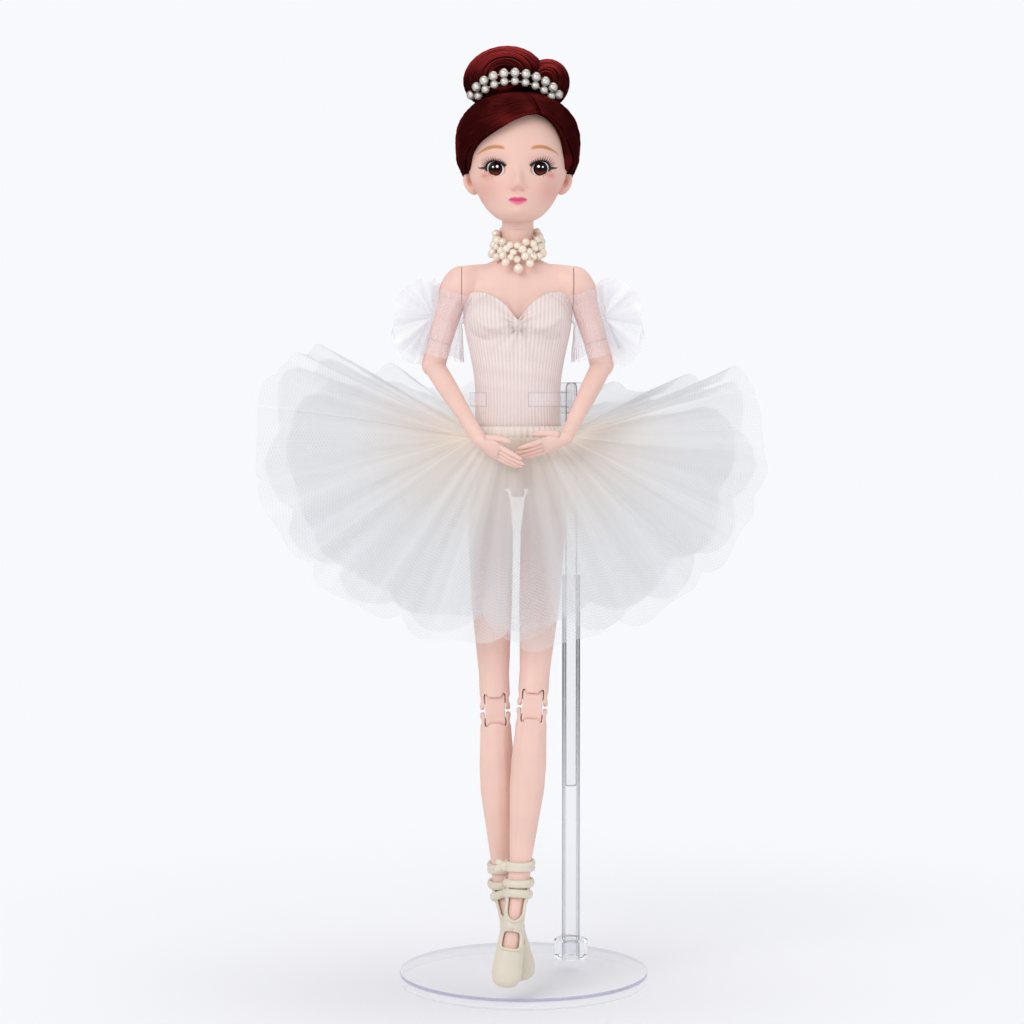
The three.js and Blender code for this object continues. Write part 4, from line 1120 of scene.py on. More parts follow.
@dataclass(frozen=True)
class Hair:
    """Combed hair with laid strands, the rolls of the bun and the bead headband."""

    finishes: Finishes
    top: float = 41.0
    rows: tuple[Station, ...] = (
        (1, 8.2, 8.8, 0, 7.8), (6, 11.8, 13, 0, 5.6), (13, 18.6, 18.6, 0, 1.2), (20, 19.9, 20.4, 0, 0),
        (28, 19.8, 20.2, 0, -0.2), (34, 16.8, 17.4, 0, 0), (38.6, 11, 12, 0, 0), (41, 3.4, 4, 0, 0))
    line: tuple[Pair, ...] = (
        (-180, 1), (-146, 2), (-126, 5.5), (-110, 10), (-96, 13), (-80, 14.4), (-67, 14.8), (-61.5, 16.6),
        (-57.5, 19.6), (-44, 23.0), (-21.5, 26.8), (-4.2, 29.8), (10.8, 31.6), (24, 32.1), (36, 30.6), (46, 27.4),
        (55.5, 22.8), (61, 18.2), (65, 14.9), (80, 14.4), (96, 13), (110, 10), (126, 5.5), (146, 2), (180, 1))
    rolls: tuple[Roll, Roll] = (Roll((-4.6, 2.0, 45.6), (13.2, 13.4, 10.0), -0.16, 150),
                                Roll((9.2, 3.0, 43.8), (7.2, 9.6, 8.0), 0.5, 90))

    def surface(self, degrees: float, z: float, lift: float = 0.0) -> Vector:
        """Point on the combed hair at an angle from straight ahead, a height, and a height over the hair."""
        over_ears = bell((abs(facing(degrees)), 78, 24)) * (1 - ease(14.0, 18.5, z))
        point = oval(self.rows, math.radians(degrees), min(z, self.top), lift - 1.7 * over_ears)
        return Vector((point.x, point.y, z))

    def edge(self, degrees: float) -> float:
        """Height of the hairline at an angle."""
        degrees = facing(degrees)
        for (a, low), (b, high) in zip(self.line, self.line[1:]):
            if a <= degrees <= b:
                return low + (high - low) * (degrees - a) / (b - a)
        return self.line[0][1]

    def combed(self, levels: int = 26, steps: int = 120) -> None:
        """Build the combed hair: a shell from the hairline up, and strands laid over it.

        Args:
            levels: rows from the hairline to the top.
            steps: steps round the head.
        """
        part, rand = HeadPart(), random.Random(7)

        def place(i: int, j: int) -> tuple[Vector, Pair]:
            """Point and map; the first row turns in under the edge."""
            turn, v = 360 * j / steps - 180, max(i - 1, 0) / levels
            low = self.edge(turn)
            lift = -0.25 * (1 - ease(0, 0.12, v)) if i else -2.6
            return self.surface(turn, low + (self.top - low) * v, lift), (v, turn / 120)

        part.grid(levels + 1, steps, place, caps=(False, True))
        for count, root, spread, end in ((150, 24, 12, -176), (80, 25, 6, 176)):
            for i in range(count):
                t = i / (count - 1)
                self.strand(part, rand, -0.12 + 1.12 * t, root - spread * t, end)
        for i in range(80):
            turn = 112 + 136 * (i + rand.random()) / 80
            low, path = self.edge(turn) + 0.2, []
            for s in range(15):
                t = s / 14
                path.append(self.surface(turn + (180 - turn) * 0.45 * t * t, low + (39.7 - low) * t,
                                         0.1 + 0.25 * math.sin(math.pi * t)))
            self.lay(part, rand, path, 0.42)
        part.piece("combed_hair", self.finishes.hair, "hair_cap")

    def strand(self, part: Batch, rand: random.Random, k: float, start: float, end: float) -> None:
        """Lay one strand from the parting round the head to the back.

        Args:
            part: mesh to add to.
            rand: source of small differences.
            k: place from the hairline, 0, to the crown, 1.
            start: angle of its root in degrees.
            end: angle at which it turns up at the back.
        """
        k = min(max(k + 0.02 * (rand.random() - 0.5), -0.12), 1.0)
        wave, sign = rand.random() * 6.28, math.copysign(1, end)
        lift, path = 0.05 + 0.42 * rand.random(), []
        for s in range(29):
            t = s / 28
            turn = start + (end - start) * t
            around = abs(turn)
            low = self.edge(turn) if around < 43 else 23.2 - 12.2 * min((around - 43) / 55, 1.0)
            if turn >= 43:
                low = min(low + 4.8 * (1 - ease(43, 98, turn)), self.edge(43))
            top = self.top - 5.0 * ease(20, 120, around)
            z = low + 0.25 + (top - low) * (0.02 + 0.96 * k)
            z += (38.5 - z) * ease(98, 176, around) * (0.35 + 0.3 * k)
            if around < 98:
                z = max(z, self.edge(turn) + 0.3)
            swell = 0.3 * bell((around, 40, 40)) * (1 - k)
            z += 0.15 * math.sin(wave + 9 * t * sign)
            path.append(self.surface(turn, z, lift + swell + 0.1 * rand.random()))
        self.lay(part, rand, path, 0.46)

    def lay(self, part: Batch, rand: random.Random, path: Path, width: float) -> None:
        """Add a flattened, tapered strand along a path, with a half width at its middle."""
        last = len(path) - 1
        radii = [width * (0.55 + 0.45 * math.sin(math.pi * i / last)) * (0.8 + 0.12 * rand.random())
                 for i in range(len(path))]
        self.wisp(part, rand, path, radii, 0.5, path[0] - Vector((0.0, 0.0, path[0].z)))

    def wisp(self, part: Batch, rand: random.Random, path: Path, radii: list[float], flat: float,
             out: Vector) -> None:
        """Add a strand whose map starts at a random place of the streaks."""
        shift = rand.random()
        part.tube(path, radii, 5, flat, out, lambda across, along: (shift + 0.012 * across, along / 60))

    def bun(self, rings: int = 40, sides: int = 72) -> None:
        """Build the rolls of the bun, wound with strands.

        Args:
            rings: steps from the front of a roll to its back.
            sides: steps round it.
        """
        part, rand = HeadPart(), random.Random(11)
        for roll in self.rolls:
            part.grid(rings, sides, lambda i, j: (roll.surface(math.pi * i / rings, math.tau * j / sides, -0.12),
                                                  (i / rings * 0.8, j / sides * 1.4)), wrap=False, flip=True)
            for _ in range(roll.strands):
                polar = 0.1 + 2.9 * rand.random()
                first, sweep = -0.9 + 0.8 * rand.random(), 3.4 + 1.2 * rand.random()
                over, drift = 0.02 + 0.45 * rand.random(), 0.35 * (rand.random() - 0.3)
                path, radii = [], []
                for s in range(21):
                    t = s / 20
                    bow = math.sin(math.pi * t)
                    path.append(roll.surface(polar + drift * t, first + sweep * t, over + 0.2 * bow))
                    radii.append(0.5 * (0.35 + 0.65 * bow))
                self.wisp(part, rand, path, radii, 0.45, path[0] - Vector(roll.centre))
        part.piece("hair_rolls", self.finishes.hair, "hair_bun").data.validate()

    def front(self, x: float, z: float) -> float:
        """Depth of the hair's front surface at a place across and a height, or 2 where no hair lies behind it."""
        _, half_x, half_y, x0, y0 = between(self.rows, z)
        for step in range(200):
            y = -18.0 + 0.1 * step
            combed = z < self.top and ((x - x0) / half_x) ** 2 + ((y - y0) / half_y) ** 2 < 1
            if combed or any(roll.holds(Vector((x, y, z))) for roll in self.rolls):
                return y
        return 2.0

    def headband(self) -> None:
        """Build the two rows of beads that rest on the hair, and the wire through each."""
        part = HeadPart()
        for count, lift, out, radius, reach in ((9, 0.0, 0.5, 1.5, 54), (11, 2.7, 0.0, 1.68, 67)):
            row = []
            for i in range(count):
                a = math.radians(reach * (2 * i / (count - 1) - 1))
                x, z = -1 + (14.8 + 0.3 * lift) * math.sin(a), 33.2 + 10.0 * math.cos(a) + lift
                row.append(Vector((x, self.front(x, z) - 0.8 * radius - out, z)))
            for _ in range(12):
                for i in range(1, count - 1):
                    row[i].y = min(row[i].y, (row[i - 1].y + row[i + 1].y) / 2)
            for centre in row:
                bead(part, centre, radius)
            part.tube(row, [0.25] * count, 8)
        part.piece("headband_beads", self.finishes.bead, "bead_headband")

    def build(self) -> None:
        """Build the hair, the bun and the headband."""
        self.combed()
        self.bun()
        self.headband()


class Softness(Enum):
    """How a form is evened out: size of its new faces in millimetres, and how often its points are smoothed."""

    TRUNK = (0.42, 7)
    LIMB = (0.42, 9)
    SMALL = (0.3, 5)

    def put_on(self, piece: bpy.types.Object) -> None:
        """Even out a form's faces and round its edges, with live modifiers."""
        remesh = piece.modifiers.new("even", "REMESH")
        remesh.mode = "VOXEL"
        remesh.voxel_size = self.value[0] * MM
        remesh.use_smooth_shade = True
        smooth = piece.modifiers.new("soften", "SMOOTH")
        smooth.factor, smooth.iterations = 0.5, self.value[1]


@dataclass(frozen=True)
class Limbs:
    """Bare plastic parts of the trunk, arms and legs, rounded off from the jointed solids."""

    finishes: Finishes
    kept_solids: tuple[tuple[str, Softness], ...] = (
        ("pelvis", Softness.LIMB), ("left_foot", Softness.LIMB), ("left_hip", Softness.SMALL),
        ("right_foot", Softness.LIMB), ("right_hip", Softness.SMALL))
    neck_rows: tuple[Station, ...] = (
        (240.5, 5.6, 5.5, 0, 1.2), (243, 5.35, 5.3, 0, 1.2), (249, 5.2, 5.2, 0, 1.1), (253, 5.25, 5.2, 0, 0.8),
        (256.2, 4.9, 4.9, 0, 0.4), (257.4, 3.6, 3.6, 0, 0.2))
    corner_rows: tuple[Station, ...] = (
        (7, 3.4, 1.6, 4.6), (9, 4.4, 2.8, 3.8), (12, 5.6, 4.4, 2.6), (15, 6.5, 5.5, 1.4), (17, 6.8, 6.0, 0.9),
        (18.65, 6.9, 6.1, 0.6))
    ball_size: Pair = (6.9, 6.1)
    legs: tuple[tuple[str, float, Softness], ...] = (
        ("thigh", 1.2, Softness.LIMB), ("knee_link", 1.24, Softness.SMALL), ("shin", 1.2, Softness.LIMB))
    cuff_rows: tuple[Station, ...] = (
        (-1.9, 1.1, 1.1), (-1.2, 1.9, 1.9), (0, 2.25, 2.25), (1.6, 2.3, 2.3), (3.1, 2.35, 2.35), (3.6, 2.1, 2.1))
    palm_rows: tuple[Station, ...] = (
        (2.1, 0.9, 0.9), (1.6, 1.75, 1.7), (0.6, 2.25, 2.2), (-0.8, 2.3, 2.15), (-2.4, 2.6, 2.0), (-4.6, 3.25, 1.8),
        (-6.6, 3.4, 1.55), (-7.8, 3.3, 1.25), (-8.5, 2.8, 0.8))
    fingers: tuple[Point, ...] = ((-2.3, 9.4, 0.9), (-0.78, 10.6, 1.15), (0.78, 10.1, 1.5), (2.25, 8.4, 1.9))
    finger_radii: tuple[float, ...] = (1.0, 1.0, 0.96, 0.91, 0.89, 0.87, 0.84, 0.8, 0.75, 0.68, 0.54, 0.22)
    thumb: tuple[tuple[Point, float], ...] = (
        ((-1.6, 0.2, -2.0), 1.5), ((-2.5, 0.7, -3.6), 1.4), ((-3.4, 1.3, -5.2), 1.15), ((-4.0, 1.7, -6.8), 1.0),
        ((-4.35, 2.1, -8.4), 0.9), ((-4.45, 2.35, -9.6), 0.66), ((-4.45, 2.45, -10.1), 0.25))

    def lofted(self, name: str, body: str, rows: list[tuple], at: Matrix, node: str, sides: int = 48,
               steps: int = 4) -> None:
        """Build one rounded skin part that stands for a CAD node.

        Args:
            name: name of the piece.
            body: body that it rides on.
            rows: its stations.
            at: their frame.
            node: the CAD node.
            sides: steps round.
            steps: rows between two stations.
        """
        batch = Batch()
        batch.loft(rows, at, sides, steps)
        batch.piece(name, self.finishes.skin, body, node)

    def with_solid(self, piece: bpy.types.Object, node: str, softness: Softness,
                   shaped: Callable[[Vector], Vector] = lambda point: point) -> None:
        """Join a copy of a CAD node's faces to a piece and round the whole.

        Args:
            piece: the new piece.
            node: the CAD node.
            softness: how it is rounded.
            shaped: new place of each point, in metres.
        """
        form = bmesh.new()
        form.from_mesh(piece.data)
        form.from_mesh(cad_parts[node].data)
        for vert in form.verts:
            vert.co = shaped(vert.co)
        bmesh.ops.remove_doubles(form, verts=form.verts, dist=MERGE)
        form.to_mesh(piece.data)
        form.free()
        softness.put_on(piece)

    def torso(self) -> None:
        """Build the chest with rounded corners that meet the shoulder balls."""
        corners = Batch()
        outer = self.corner_rows[-1][0]
        for side in SIDES:
            corners.loft([(z, tall, deep, -side.sign * up, (outer - z) * 0.16)
                          for z, tall, deep, up in self.corner_rows], side.shoulder(), 48)
        piece = corners.piece("chest_shell", self.finishes.skin, "chest", "chest")
        self.with_solid(piece, "chest", Softness.TRUNK)

    def shoulder(self, side: Side) -> None:
        """Build the rounded shoulder ball of a side."""
        tall, deep = self.ball_size
        rows = [(18.74, 6.75, 6.0, -0.6 * side.sign), (18.9, tall, deep, -0.6 * side.sign)]
        for step in range(10):
            a = math.radians(9.6 * step)
            drop = -0.6 + 2.6 * math.sin(a) ** 2
            rows.append((19.0 + 7.5 * math.sin(a), tall * math.cos(a), deep * math.cos(a), drop * side.sign))
        self.lofted(f"{side.name}_shoulder_ball", f"{side.name}_shoulder", rows, side.shoulder(),
                    f"{side.name}_shoulder_cap", steps=2)

    def leg(self, side: Side) -> None:
        """Build a side's thigh, knee link and shin, fuller from side to side than the solids."""
        base = Matrix.Translation(DOLL) @ side.shin()
        back = base.inverted()
        for part, fuller, softness in self.legs:
            batch = Batch()
            if part == "shin":
                turns = [math.radians(a) for a in range(-84, 1, 12)]
                cap = [(3.4 * math.sin(a), 3.6 * math.cos(a), 3.5 * math.cos(a)) for a in turns]
                batch.loft([*cap, (3, 3.6, 3.5), (8, 3.6, 3.5)], side.shin(), 36)

            def shaped(place: Vector) -> Vector:
                """Swell the calf and the thigh, and draw the knee's ends in."""
                point = back @ (place / MM)
                swell = ease(2, 20, point.z) * (1 - ease(104, 124, point.z))
                end = max(abs(point.x) - 3.0, 0.0) if part == "knee_link" else 0.0
                point.x *= 1 + (fuller - 1) * swell
                point.x += 0.7 * side.sign * swell - math.copysign(0.45 * end, point.x)
                return (base @ point) * MM

            piece = batch.piece(f"{side.name}_{part}_shell", self.finishes.skin,
                                f"{side.name}_{part.removesuffix('_link')}", f"{side.name}_{part}")
            self.with_solid(piece, f"{side.name}_{part}", softness, shaped)

    def arm(self, side: Side) -> None:
        """Build a side's upper arm, rounded elbow and forearm."""
        cup, knob = ([(radius * math.sin(math.radians(a)), radius * math.cos(math.radians(a)))
                      for a in range(84, -1, -12)] for radius in (3.95, 3.6))
        end = -side.forearm
        upper = [(1.0, 2.4, 2.4), (-1, 3.6, 3.6), (-4, 4.35, 4.3), (-8, 4.4, 4.35), (-13, 4.15, 4.1),
                 (-18.2, 3.9, 3.85), (-18.5, 3.7, 3.65)]
        elbow = [(-18.6, 3.7, 3.65), (-18.9, 3.9, 3.85), (-22, 3.95, 3.9), *((-27 - z, r, r) for z, r in cup)]
        lower = [*((z, r, r) for z, r in knob), (-4.5, 3.5, 3.45), (-9, 3.4, 3.4), (-18, 3.0, 3.0),
                 (end + 6, 2.35, 2.4), (end + 2.8, 2.3, 2.4), (end + 2.6, 2.0, 2.1)]
        for part, at, rows in (("upper_arm", side.arm(), upper), ("elbow", side.elbow_cup(), elbow),
                               ("forearm", side.elbow_bent(), lower)):
            self.lofted(f"{side.name}_{part}_shell", f"{side.name}_{part}", rows, at, f"{side.name}_{part}", steps=3)

    def hand(self, side: Side) -> None:
        """Build a side's slim hand: wrist ball, palm, four fingers and a thumb."""
        at, batch = side.hand(), Batch()
        batch.loft(self.palm_rows, at, 36)
        last = len(self.finger_radii) - 1
        for place, length, bow in self.fingers:
            path = [at @ Vector((side.sign * place * (1 + 0.12 * t), 0.1 + bow * t * t, -6.4 - (length + 0.7) * t))
                    for t in (i / last for i in range(last + 1))]
            batch.tube(path, self.finger_radii, 14, 0.94, at.to_3x3() @ Vector((0, 1, 0)))
        batch.tube([at @ Vector((side.sign * x, y, z)) for (x, y, z), _ in self.thumb],
                   [radius for _, radius in self.thumb], 14)
        batch.piece(f"{side.name}_slim_hand", self.finishes.skin, f"{side.name}_hand", f"{side.name}_hand")

    def build(self) -> None:
        """Round the solids that stay, then build the neck, the chest, the legs and the arms."""
        for name, softness in self.kept_solids:
            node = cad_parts[name]
            node.data.materials.clear()
            node.data.materials.append(self.finishes.skin.material())
            softness.put_on(node)
            LOG.info("%s: smoothed", name)
        self.lofted("neck", "neck_pivot", self.neck_rows, Matrix.Identity(4), "neck_knob")
        self.torso()
        for side in SIDES:
            self.leg(side)
            cuff_at = side.hand() @ turned(x=side.wrist).inverted()
            self.lofted(f"{side.name}_wrist_cuff", f"{side.name}_wrist", self.cuff_rows, cuff_at,
                        f"{side.name}_wrist", 36)
            self.arm(side)
            self.shoulder(side)
            self.hand(side)


class Window(Enum):
    """Openings of a slipper."""

    TOE = "toe"
    INSTEP = "instep"
    SIDE = "side"

    def opens(self, degrees: float, z: float) -> bool:
        """Whether it is open at an angle from the front and a height."""
        if self is Window.TOE:
            return (degrees / 47) ** 4 + ((z + 18.1) / 3.1) ** 4 < 1
        if self is Window.INSTEP:
            return degrees < 52 and -12.2 + 3.4 * (degrees / 52) ** 2 < z < 1.2
        return 68 < degrees < 112 and -12.4 < z < -5.6

    def rim(self, t: float) -> Pair:
        """Angle in degrees and height at a share of the way round its rim."""
        if self is Window.TOE:
            u, w = math.sin(math.tau * t), math.cos(math.tau * t)
            return 47 * math.copysign(abs(u) ** 0.5, u), -18.1 + 3.1 * math.copysign(abs(w) ** 0.5, w)
        across = 2 * t - 1
        return 52 * across, -12.2 + 3.4 * across ** 2 + 8.0 * ease(0.9, 1.0, abs(across))


@dataclass(frozen=True)
class Shoes:
    """Cream slippers with windows over the instep and ties round the ankle."""

    finishes: Finishes
    wall: float = 0.75
    sides: int = 48
    steps: int = 74
    upper: tuple[Station, ...] = ((1.6, 4.0, 4.1, 0, 0.1), (-2, 3.95, 4.2, 0, 0.3), (-8, 3.75, 4.45, 0, 0.5),
                                  (-13, 3.9, 4.3, 0, 0.2), (-19, 4.25, 4.1, 0, 0), (-25, 4.75, 4.1, 0, 0))
    toe: tuple[Point, ...] = ((5, 4.85, 4.05), (2.2, 4.2, 3.6), (0.9, 2.9, 2.5), (0.3, 1.2, 1.0))
    rings: tuple[tuple[float, ...], ...] = ((7.0, 4.35, 4.3, 0.5, 1.15), (5.4, 4.4, 4.35, -0.3, 1.05),
                                            (0.8, 4.3, 4.2, 0.2, 1.4))
    strap: tuple[float, ...] = (-2.9, 4.2, 4.3, 0.3, 1.4)
    knot: tuple[Point, ...] = ((-1.5, 0.7, 0.6), (-1.1, 1.3, 1.1), (0, 1.6, 1.3), (1.1, 1.3, 1.1), (1.5, 0.7, 0.6))
    tips: tuple[Point, Point] = ((-3.0, -0.4, 1.4), (-3.3, -0.6, -1.6))

    def slipper(self, side: Side) -> None:
        """Build a side's slipper as a thin moulded shell with rimmed windows."""
        long, at, shell = side.foot, side.ankle(), Batch()
        rows = wide([*self.upper, *((up - long, half_x, half_y) for up, half_x, half_y in self.toe)])

        def height(row: float) -> float:
            """Height of a row."""
            return -long + 0.3 + (long + 1.3) * row / self.steps

        def place(i: int, j: int) -> tuple[Vector, Pair]:
            """Point and map of a step round the foot."""
            turn = math.tau * (j + 0.5) / self.sides - math.pi
            return at @ oval(rows, turn, height(i)), (turn * 4, height(i))

        def closed(i: int, j: int) -> bool:
            """Whether a face lies outside every window."""
            turn = abs(math.degrees(math.tau * (j + 1) / self.sides - math.pi))
            return not any(window.opens(turn, height(i + 0.5)) for window in Window)

        shell.grid(self.steps, self.sides, place, caps=(True, False), keep=closed)
        piece = shell.piece(f"{side.name}_slipper", self.finishes.shoe, f"{side.name}_foot", f"{side.name}_shoe")
        wall = piece.modifiers.new("wall", "SOLIDIFY")
        wall.thickness, wall.offset = self.wall * MM, -1.0
        soft = piece.modifiers.new("soft", "SUBSURF")
        soft.levels = soft.render_levels = 1
        rims, last = Batch(), 48
        for window in (Window.TOE, Window.INSTEP):
            path = []
            for i in range(last + 1):
                turn, z = window.rim(i / last)
                path.append(at @ oval(rows, math.radians(turn), z, 0.1))
            rims.tube(path, [0.5] * len(path), 10, 0.8, path[last // 2] - at @ Vector((0, 0, -15)))
        rims.piece(f"{side.name}_slipper_rims", self.finishes.shoe, f"{side.name}_foot")

    def ring(self, batch: Batch, at: Matrix, z: float, half_x: float, half_y: float, lean: float,
             thick: float) -> None:
        """Add a flattened tie round the ankle.

        Args:
            batch: mesh to add to.
            at: frame of the ankle.
            z: height of its middle.
            half_x: half width.
            half_y: half depth.
            lean: how much its front sits lower than its back.
            thick: half width of the tie.
        """
        path = []
        for i in range(37):
            a = math.tau * i / 36 + math.pi
            path.append(at @ Vector((half_x * math.sin(a), 0.2 - half_y * math.cos(a),
                                     z - lean * math.cos(a) + 0.3 * math.sin(a))))
        batch.tube(path, [thick] * len(path), 12, 0.62, path[0] - at @ Vector((0, 0.2, z)))

    def ties(self, side: Side) -> None:
        """Build the ties round a side's ankle, the knot, and the strap of the slipper."""
        high, low, shin = Batch(), Batch(), side.shin()
        for sizes in self.rings:
            self.ring(high, shin, *sizes)
        knot = shin @ moved(-4.9 * side.sign, -1.6, 5.9)
        high.loft(self.knot, knot, 20)
        for x, y, z in self.tips:
            tip, bow = Vector((x * side.sign, y, z)), Vector((0, -0.5, 0.3))
            high.tube([knot @ (tip * t + bow * math.sin(math.pi * t)) for t in (0, 0.3, 0.6, 0.85, 1)],
                      [0.9, 1.1, 1.1, 0.95, 0.5], 10, 0.5, shin.to_3x3() @ Vector((0, 1, 0)))
        high.piece(f"{side.name}_ankle_ties", self.finishes.shoe, f"{side.name}_shin")
        self.ring(low, side.ankle(), *self.strap)
        low.piece(f"{side.name}_instep_straps", self.finishes.shoe, f"{side.name}_foot")

    def build(self) -> None:
        """Build both slippers and their ties."""
        for side in SIDES:
            self.slipper(side)
            self.ties(side)


@dataclass(frozen=True)
class Stand:
    """Clear disc, socket, tube, sliding rod and waist clip."""

    finishes: Finishes
    disc: float = 41.5
    thick: float = 4.0
    socket: Pair = (5.7, 10.6)
    middle: Point = (0.0, 0.0, 0.0)
    column: Point = (16.2, 17.3, 0.0)
    tube: tuple[float, float, float] = (3.1, 2.3, 135.0)
    rod: tuple[float, float, float] = (2.0, 63.0, 200.5)
    steps: int = 96
    edge: float = 0.5
    corner: float = 0.15
    flat_from: float = 0.9
    smooth_below: float = 35.0

    def spun_piece(self, name: str, at: Point, profile: list[Pair], finish: Finish, body: str, node: str,
                   solid: bool = False) -> bpy.types.Object:
        """Spin a profile about an upright axis.

        Args:
            name: name of the piece.
            at: foot of the axis.
            profile: radius and height of each corner in millimetres.
            finish: its finish.
            body: body that it rides on.
            node: CAD node that it stands for.
            solid: whether flat faces close its ends, rather than an inner wall.

        Returns:
            The finished piece.
        """
        axis = Vector(at) - DOLL
        outline, batch = (profile if solid else [*profile, profile[0]]), Batch()

        def place(i: int, j: int) -> tuple[Vector, Pair]:
            """Point of a step round a corner."""
            turn, (radius, z) = math.tau * j / self.steps, outline[i]
            return axis + Vector((radius * math.cos(turn), radius * math.sin(turn), z)), (0.0, 0.0)

        batch.grid(len(outline) - 1, self.steps, place, caps=(solid, solid))
        piece = batch.piece(name, finish, body, node)
        shape = bmesh.new()
        shape.from_mesh(piece.data)
        bmesh.ops.remove_doubles(shape, verts=shape.verts, dist=MERGE)
        bmesh.ops.recalc_face_normals(shape, faces=shape.faces)
        shape.to_mesh(piece.data)
        shape.free()
        bpy.ops.object.select_all(action="DESELECT")
        piece.select_set(True)
        bpy.context.view_layer.objects.active = piece
        bpy.ops.object.shade_smooth_by_angle(angle=math.radians(self.smooth_below))
        piece.select_set(False)
        return piece

    def base(self) -> None:
        """Build the disc: a tinted rim with rounded corners, and clear flat faces."""
        r, t, e, corner = self.disc, self.thick, self.edge, self.corner
        disc = self.spun_piece("disc", self.middle, [(r - e, 0), (r - corner, corner), (r, e), (r, t - e),
                                                     (r - corner, t - corner), (r - e, t)],
                               self.finishes.rim, "stand", "stand_base", solid=True)
        disc.data.materials.append(self.finishes.sheet.material())
        for polygon in disc.data.polygons:
            polygon.material_index = int(abs(polygon.normal.z) > self.flat_from)

    def upright(self) -> None:
        """Build the socket, the tube and the rod that slides in it."""
        (outer, bore, top), t = self.tube, self.thick
        sleeve, rise = self.socket
        self.spun_piece("socket", self.column,
                        [(outer + 0.02, t), (sleeve - 0.3, t), (sleeve, t + 0.3), (sleeve, rise - 0.6),
                         (sleeve - 0.6, rise), (outer + 0.02, rise)],
                        self.finishes.clear, "stand", "stand_socket")
        self.spun_piece("pipe", self.column,
                        [(bore, t), (outer, t), (outer, top - 0.3), (outer - 0.2, top), (bore + 0.2, top),
                         (bore, top - 0.3)], self.finishes.tube, "stand", "stand_tube")
        r, low, high = self.rod
        self.spun_piece("rod", self.column,
                        [(r - 0.3, low), (r, low + 0.3), (r, high - 2.0), (r - 0.2, high - 1.0),
                         (r - 0.8, high - 0.2), (r - 1.2, high)],
                        self.finishes.tube, "rod", "stand_rod", solid=True)

    def clip(self) -> None:
        """Frost the clip's own solid and round its edges."""
        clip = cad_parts["waist_clip"]
        clip.data.materials.clear()
        clip.data.materials.append(self.finishes.frosted.material())
        clip.modifiers.new("weld", "WELD").merge_threshold = 0.02 * MM
        rounding = clip.modifiers.new("rounding", "BEVEL")
        rounding.width, rounding.segments = 0.15 * MM, 2

    def build(self) -> None:
        """Build the stand's turned pieces and dress its clip."""
        self.base()
        self.upright()
        self.clip()


@dataclass(frozen=True)
class Studio:
    """Camera, floor, world and lamps."""

    eye: Point = (-0.00393, -0.824, 0.194)
    tilt: float = 2.55
    lens: float = 87.15
    floor_drop: float = 0.0003
    lamps: tuple[tuple[str, Point, float, float], ...] = (
        ("key", (-0.55, -0.8, 0.75), 0.7, 4.9), ("fill", (0.8, -0.6, 0.45), 0.9, 1.8),
        ("top", (0.1, 0.25, 1.0), 0.6, 2.4))
    aim: Point = (0.0, 0.0, 0.17)
    sky: Colour = (0.97, 0.98, 1.0, 1.0)
    sky_strength: float = 0.58

    def floor(self) -> None:
        """Lay the pale floor."""
        bpy.ops.mesh.primitive_plane_add(size=12.0, location=(0, 0, -self.floor_drop))
        floor = bpy.context.object
        floor.name = "floor"
        floor.data.materials.append(FloorPaper("floor_paper", "floor_paper").material())
        floor.select_set(False)

    def world(self) -> None:
        """Give even light, and the backdrop's tone where the camera sees past the floor."""
        world = bpy.data.worlds.new("soft_studio")
        bpy.context.scene.world = world
        world.use_nodes = True
        n = Nodes(world.node_tree)
        dim = n.add("ShaderNodeBackground", Color=self.sky, Strength=self.sky_strength)
        shown = n.add("ShaderNodeBackground", Color=BACKDROP, Strength=1.0)
        n.add("ShaderNodeOutputWorld", Surface=n.mixed(n.seen(), dim, shown).outputs[0])

    def lamp(self, name: str, at: Point, size: float, power: float) -> None:
        """Add a soft square lamp aimed at the doll's waist.

        Args:
            name: name of the lamp.
            at: place in metres.
            size: side in metres.
            power: power in watts.
        """
        data = bpy.data.lights.new(name, "AREA")
        data.size, data.energy = size, power
        obj = bpy.data.objects.new(name, data)
        bpy.context.collection.objects.link(obj)
        obj.location = at
        obj.rotation_euler = (Vector(self.aim) - Vector(at)).to_track_quat("-Z", "Y").to_euler()

    def camera(self) -> None:
        """Place the camera and set how its picture is shown."""
        camera = bpy.data.cameras.new("camera")
        camera.lens, camera.sensor_width, camera.clip_start = self.lens, 36.0, 0.01
        holder = bpy.data.objects.new("camera", camera)
        bpy.context.collection.objects.link(holder)
        holder.location = self.eye
        holder.rotation_euler = (math.radians(90 - self.tilt), 0.0, 0.0)
        bpy.context.scene.camera = holder
        bpy.context.scene.view_settings.view_transform = "Standard"

    def build(self) -> None:
        """Set up the pale floor, the soft light and the camera."""
        self.floor()
        self.world()
        for lamp in self.lamps:
            self.lamp(*lamp)
        self.camera()


TRUNK: list[Station] = wide([
    (172, 13.6, 10.6, 0, 1), (178, 14.4, 10.6, 0, 1), (186, 13.6, 9.6, 0, 0.6), (194, 13.3, 9, 0, 0.2),
    (201, 13.6, 9.2), (208.6, 14.8, 9.8), (216, 16.4, 10.6), (222, 17.3, 10.6, 0, 0.3),
    (228, 17.4, 9.4, 0, 0.8), (234, 17.6, 7.6, 0, 1)])


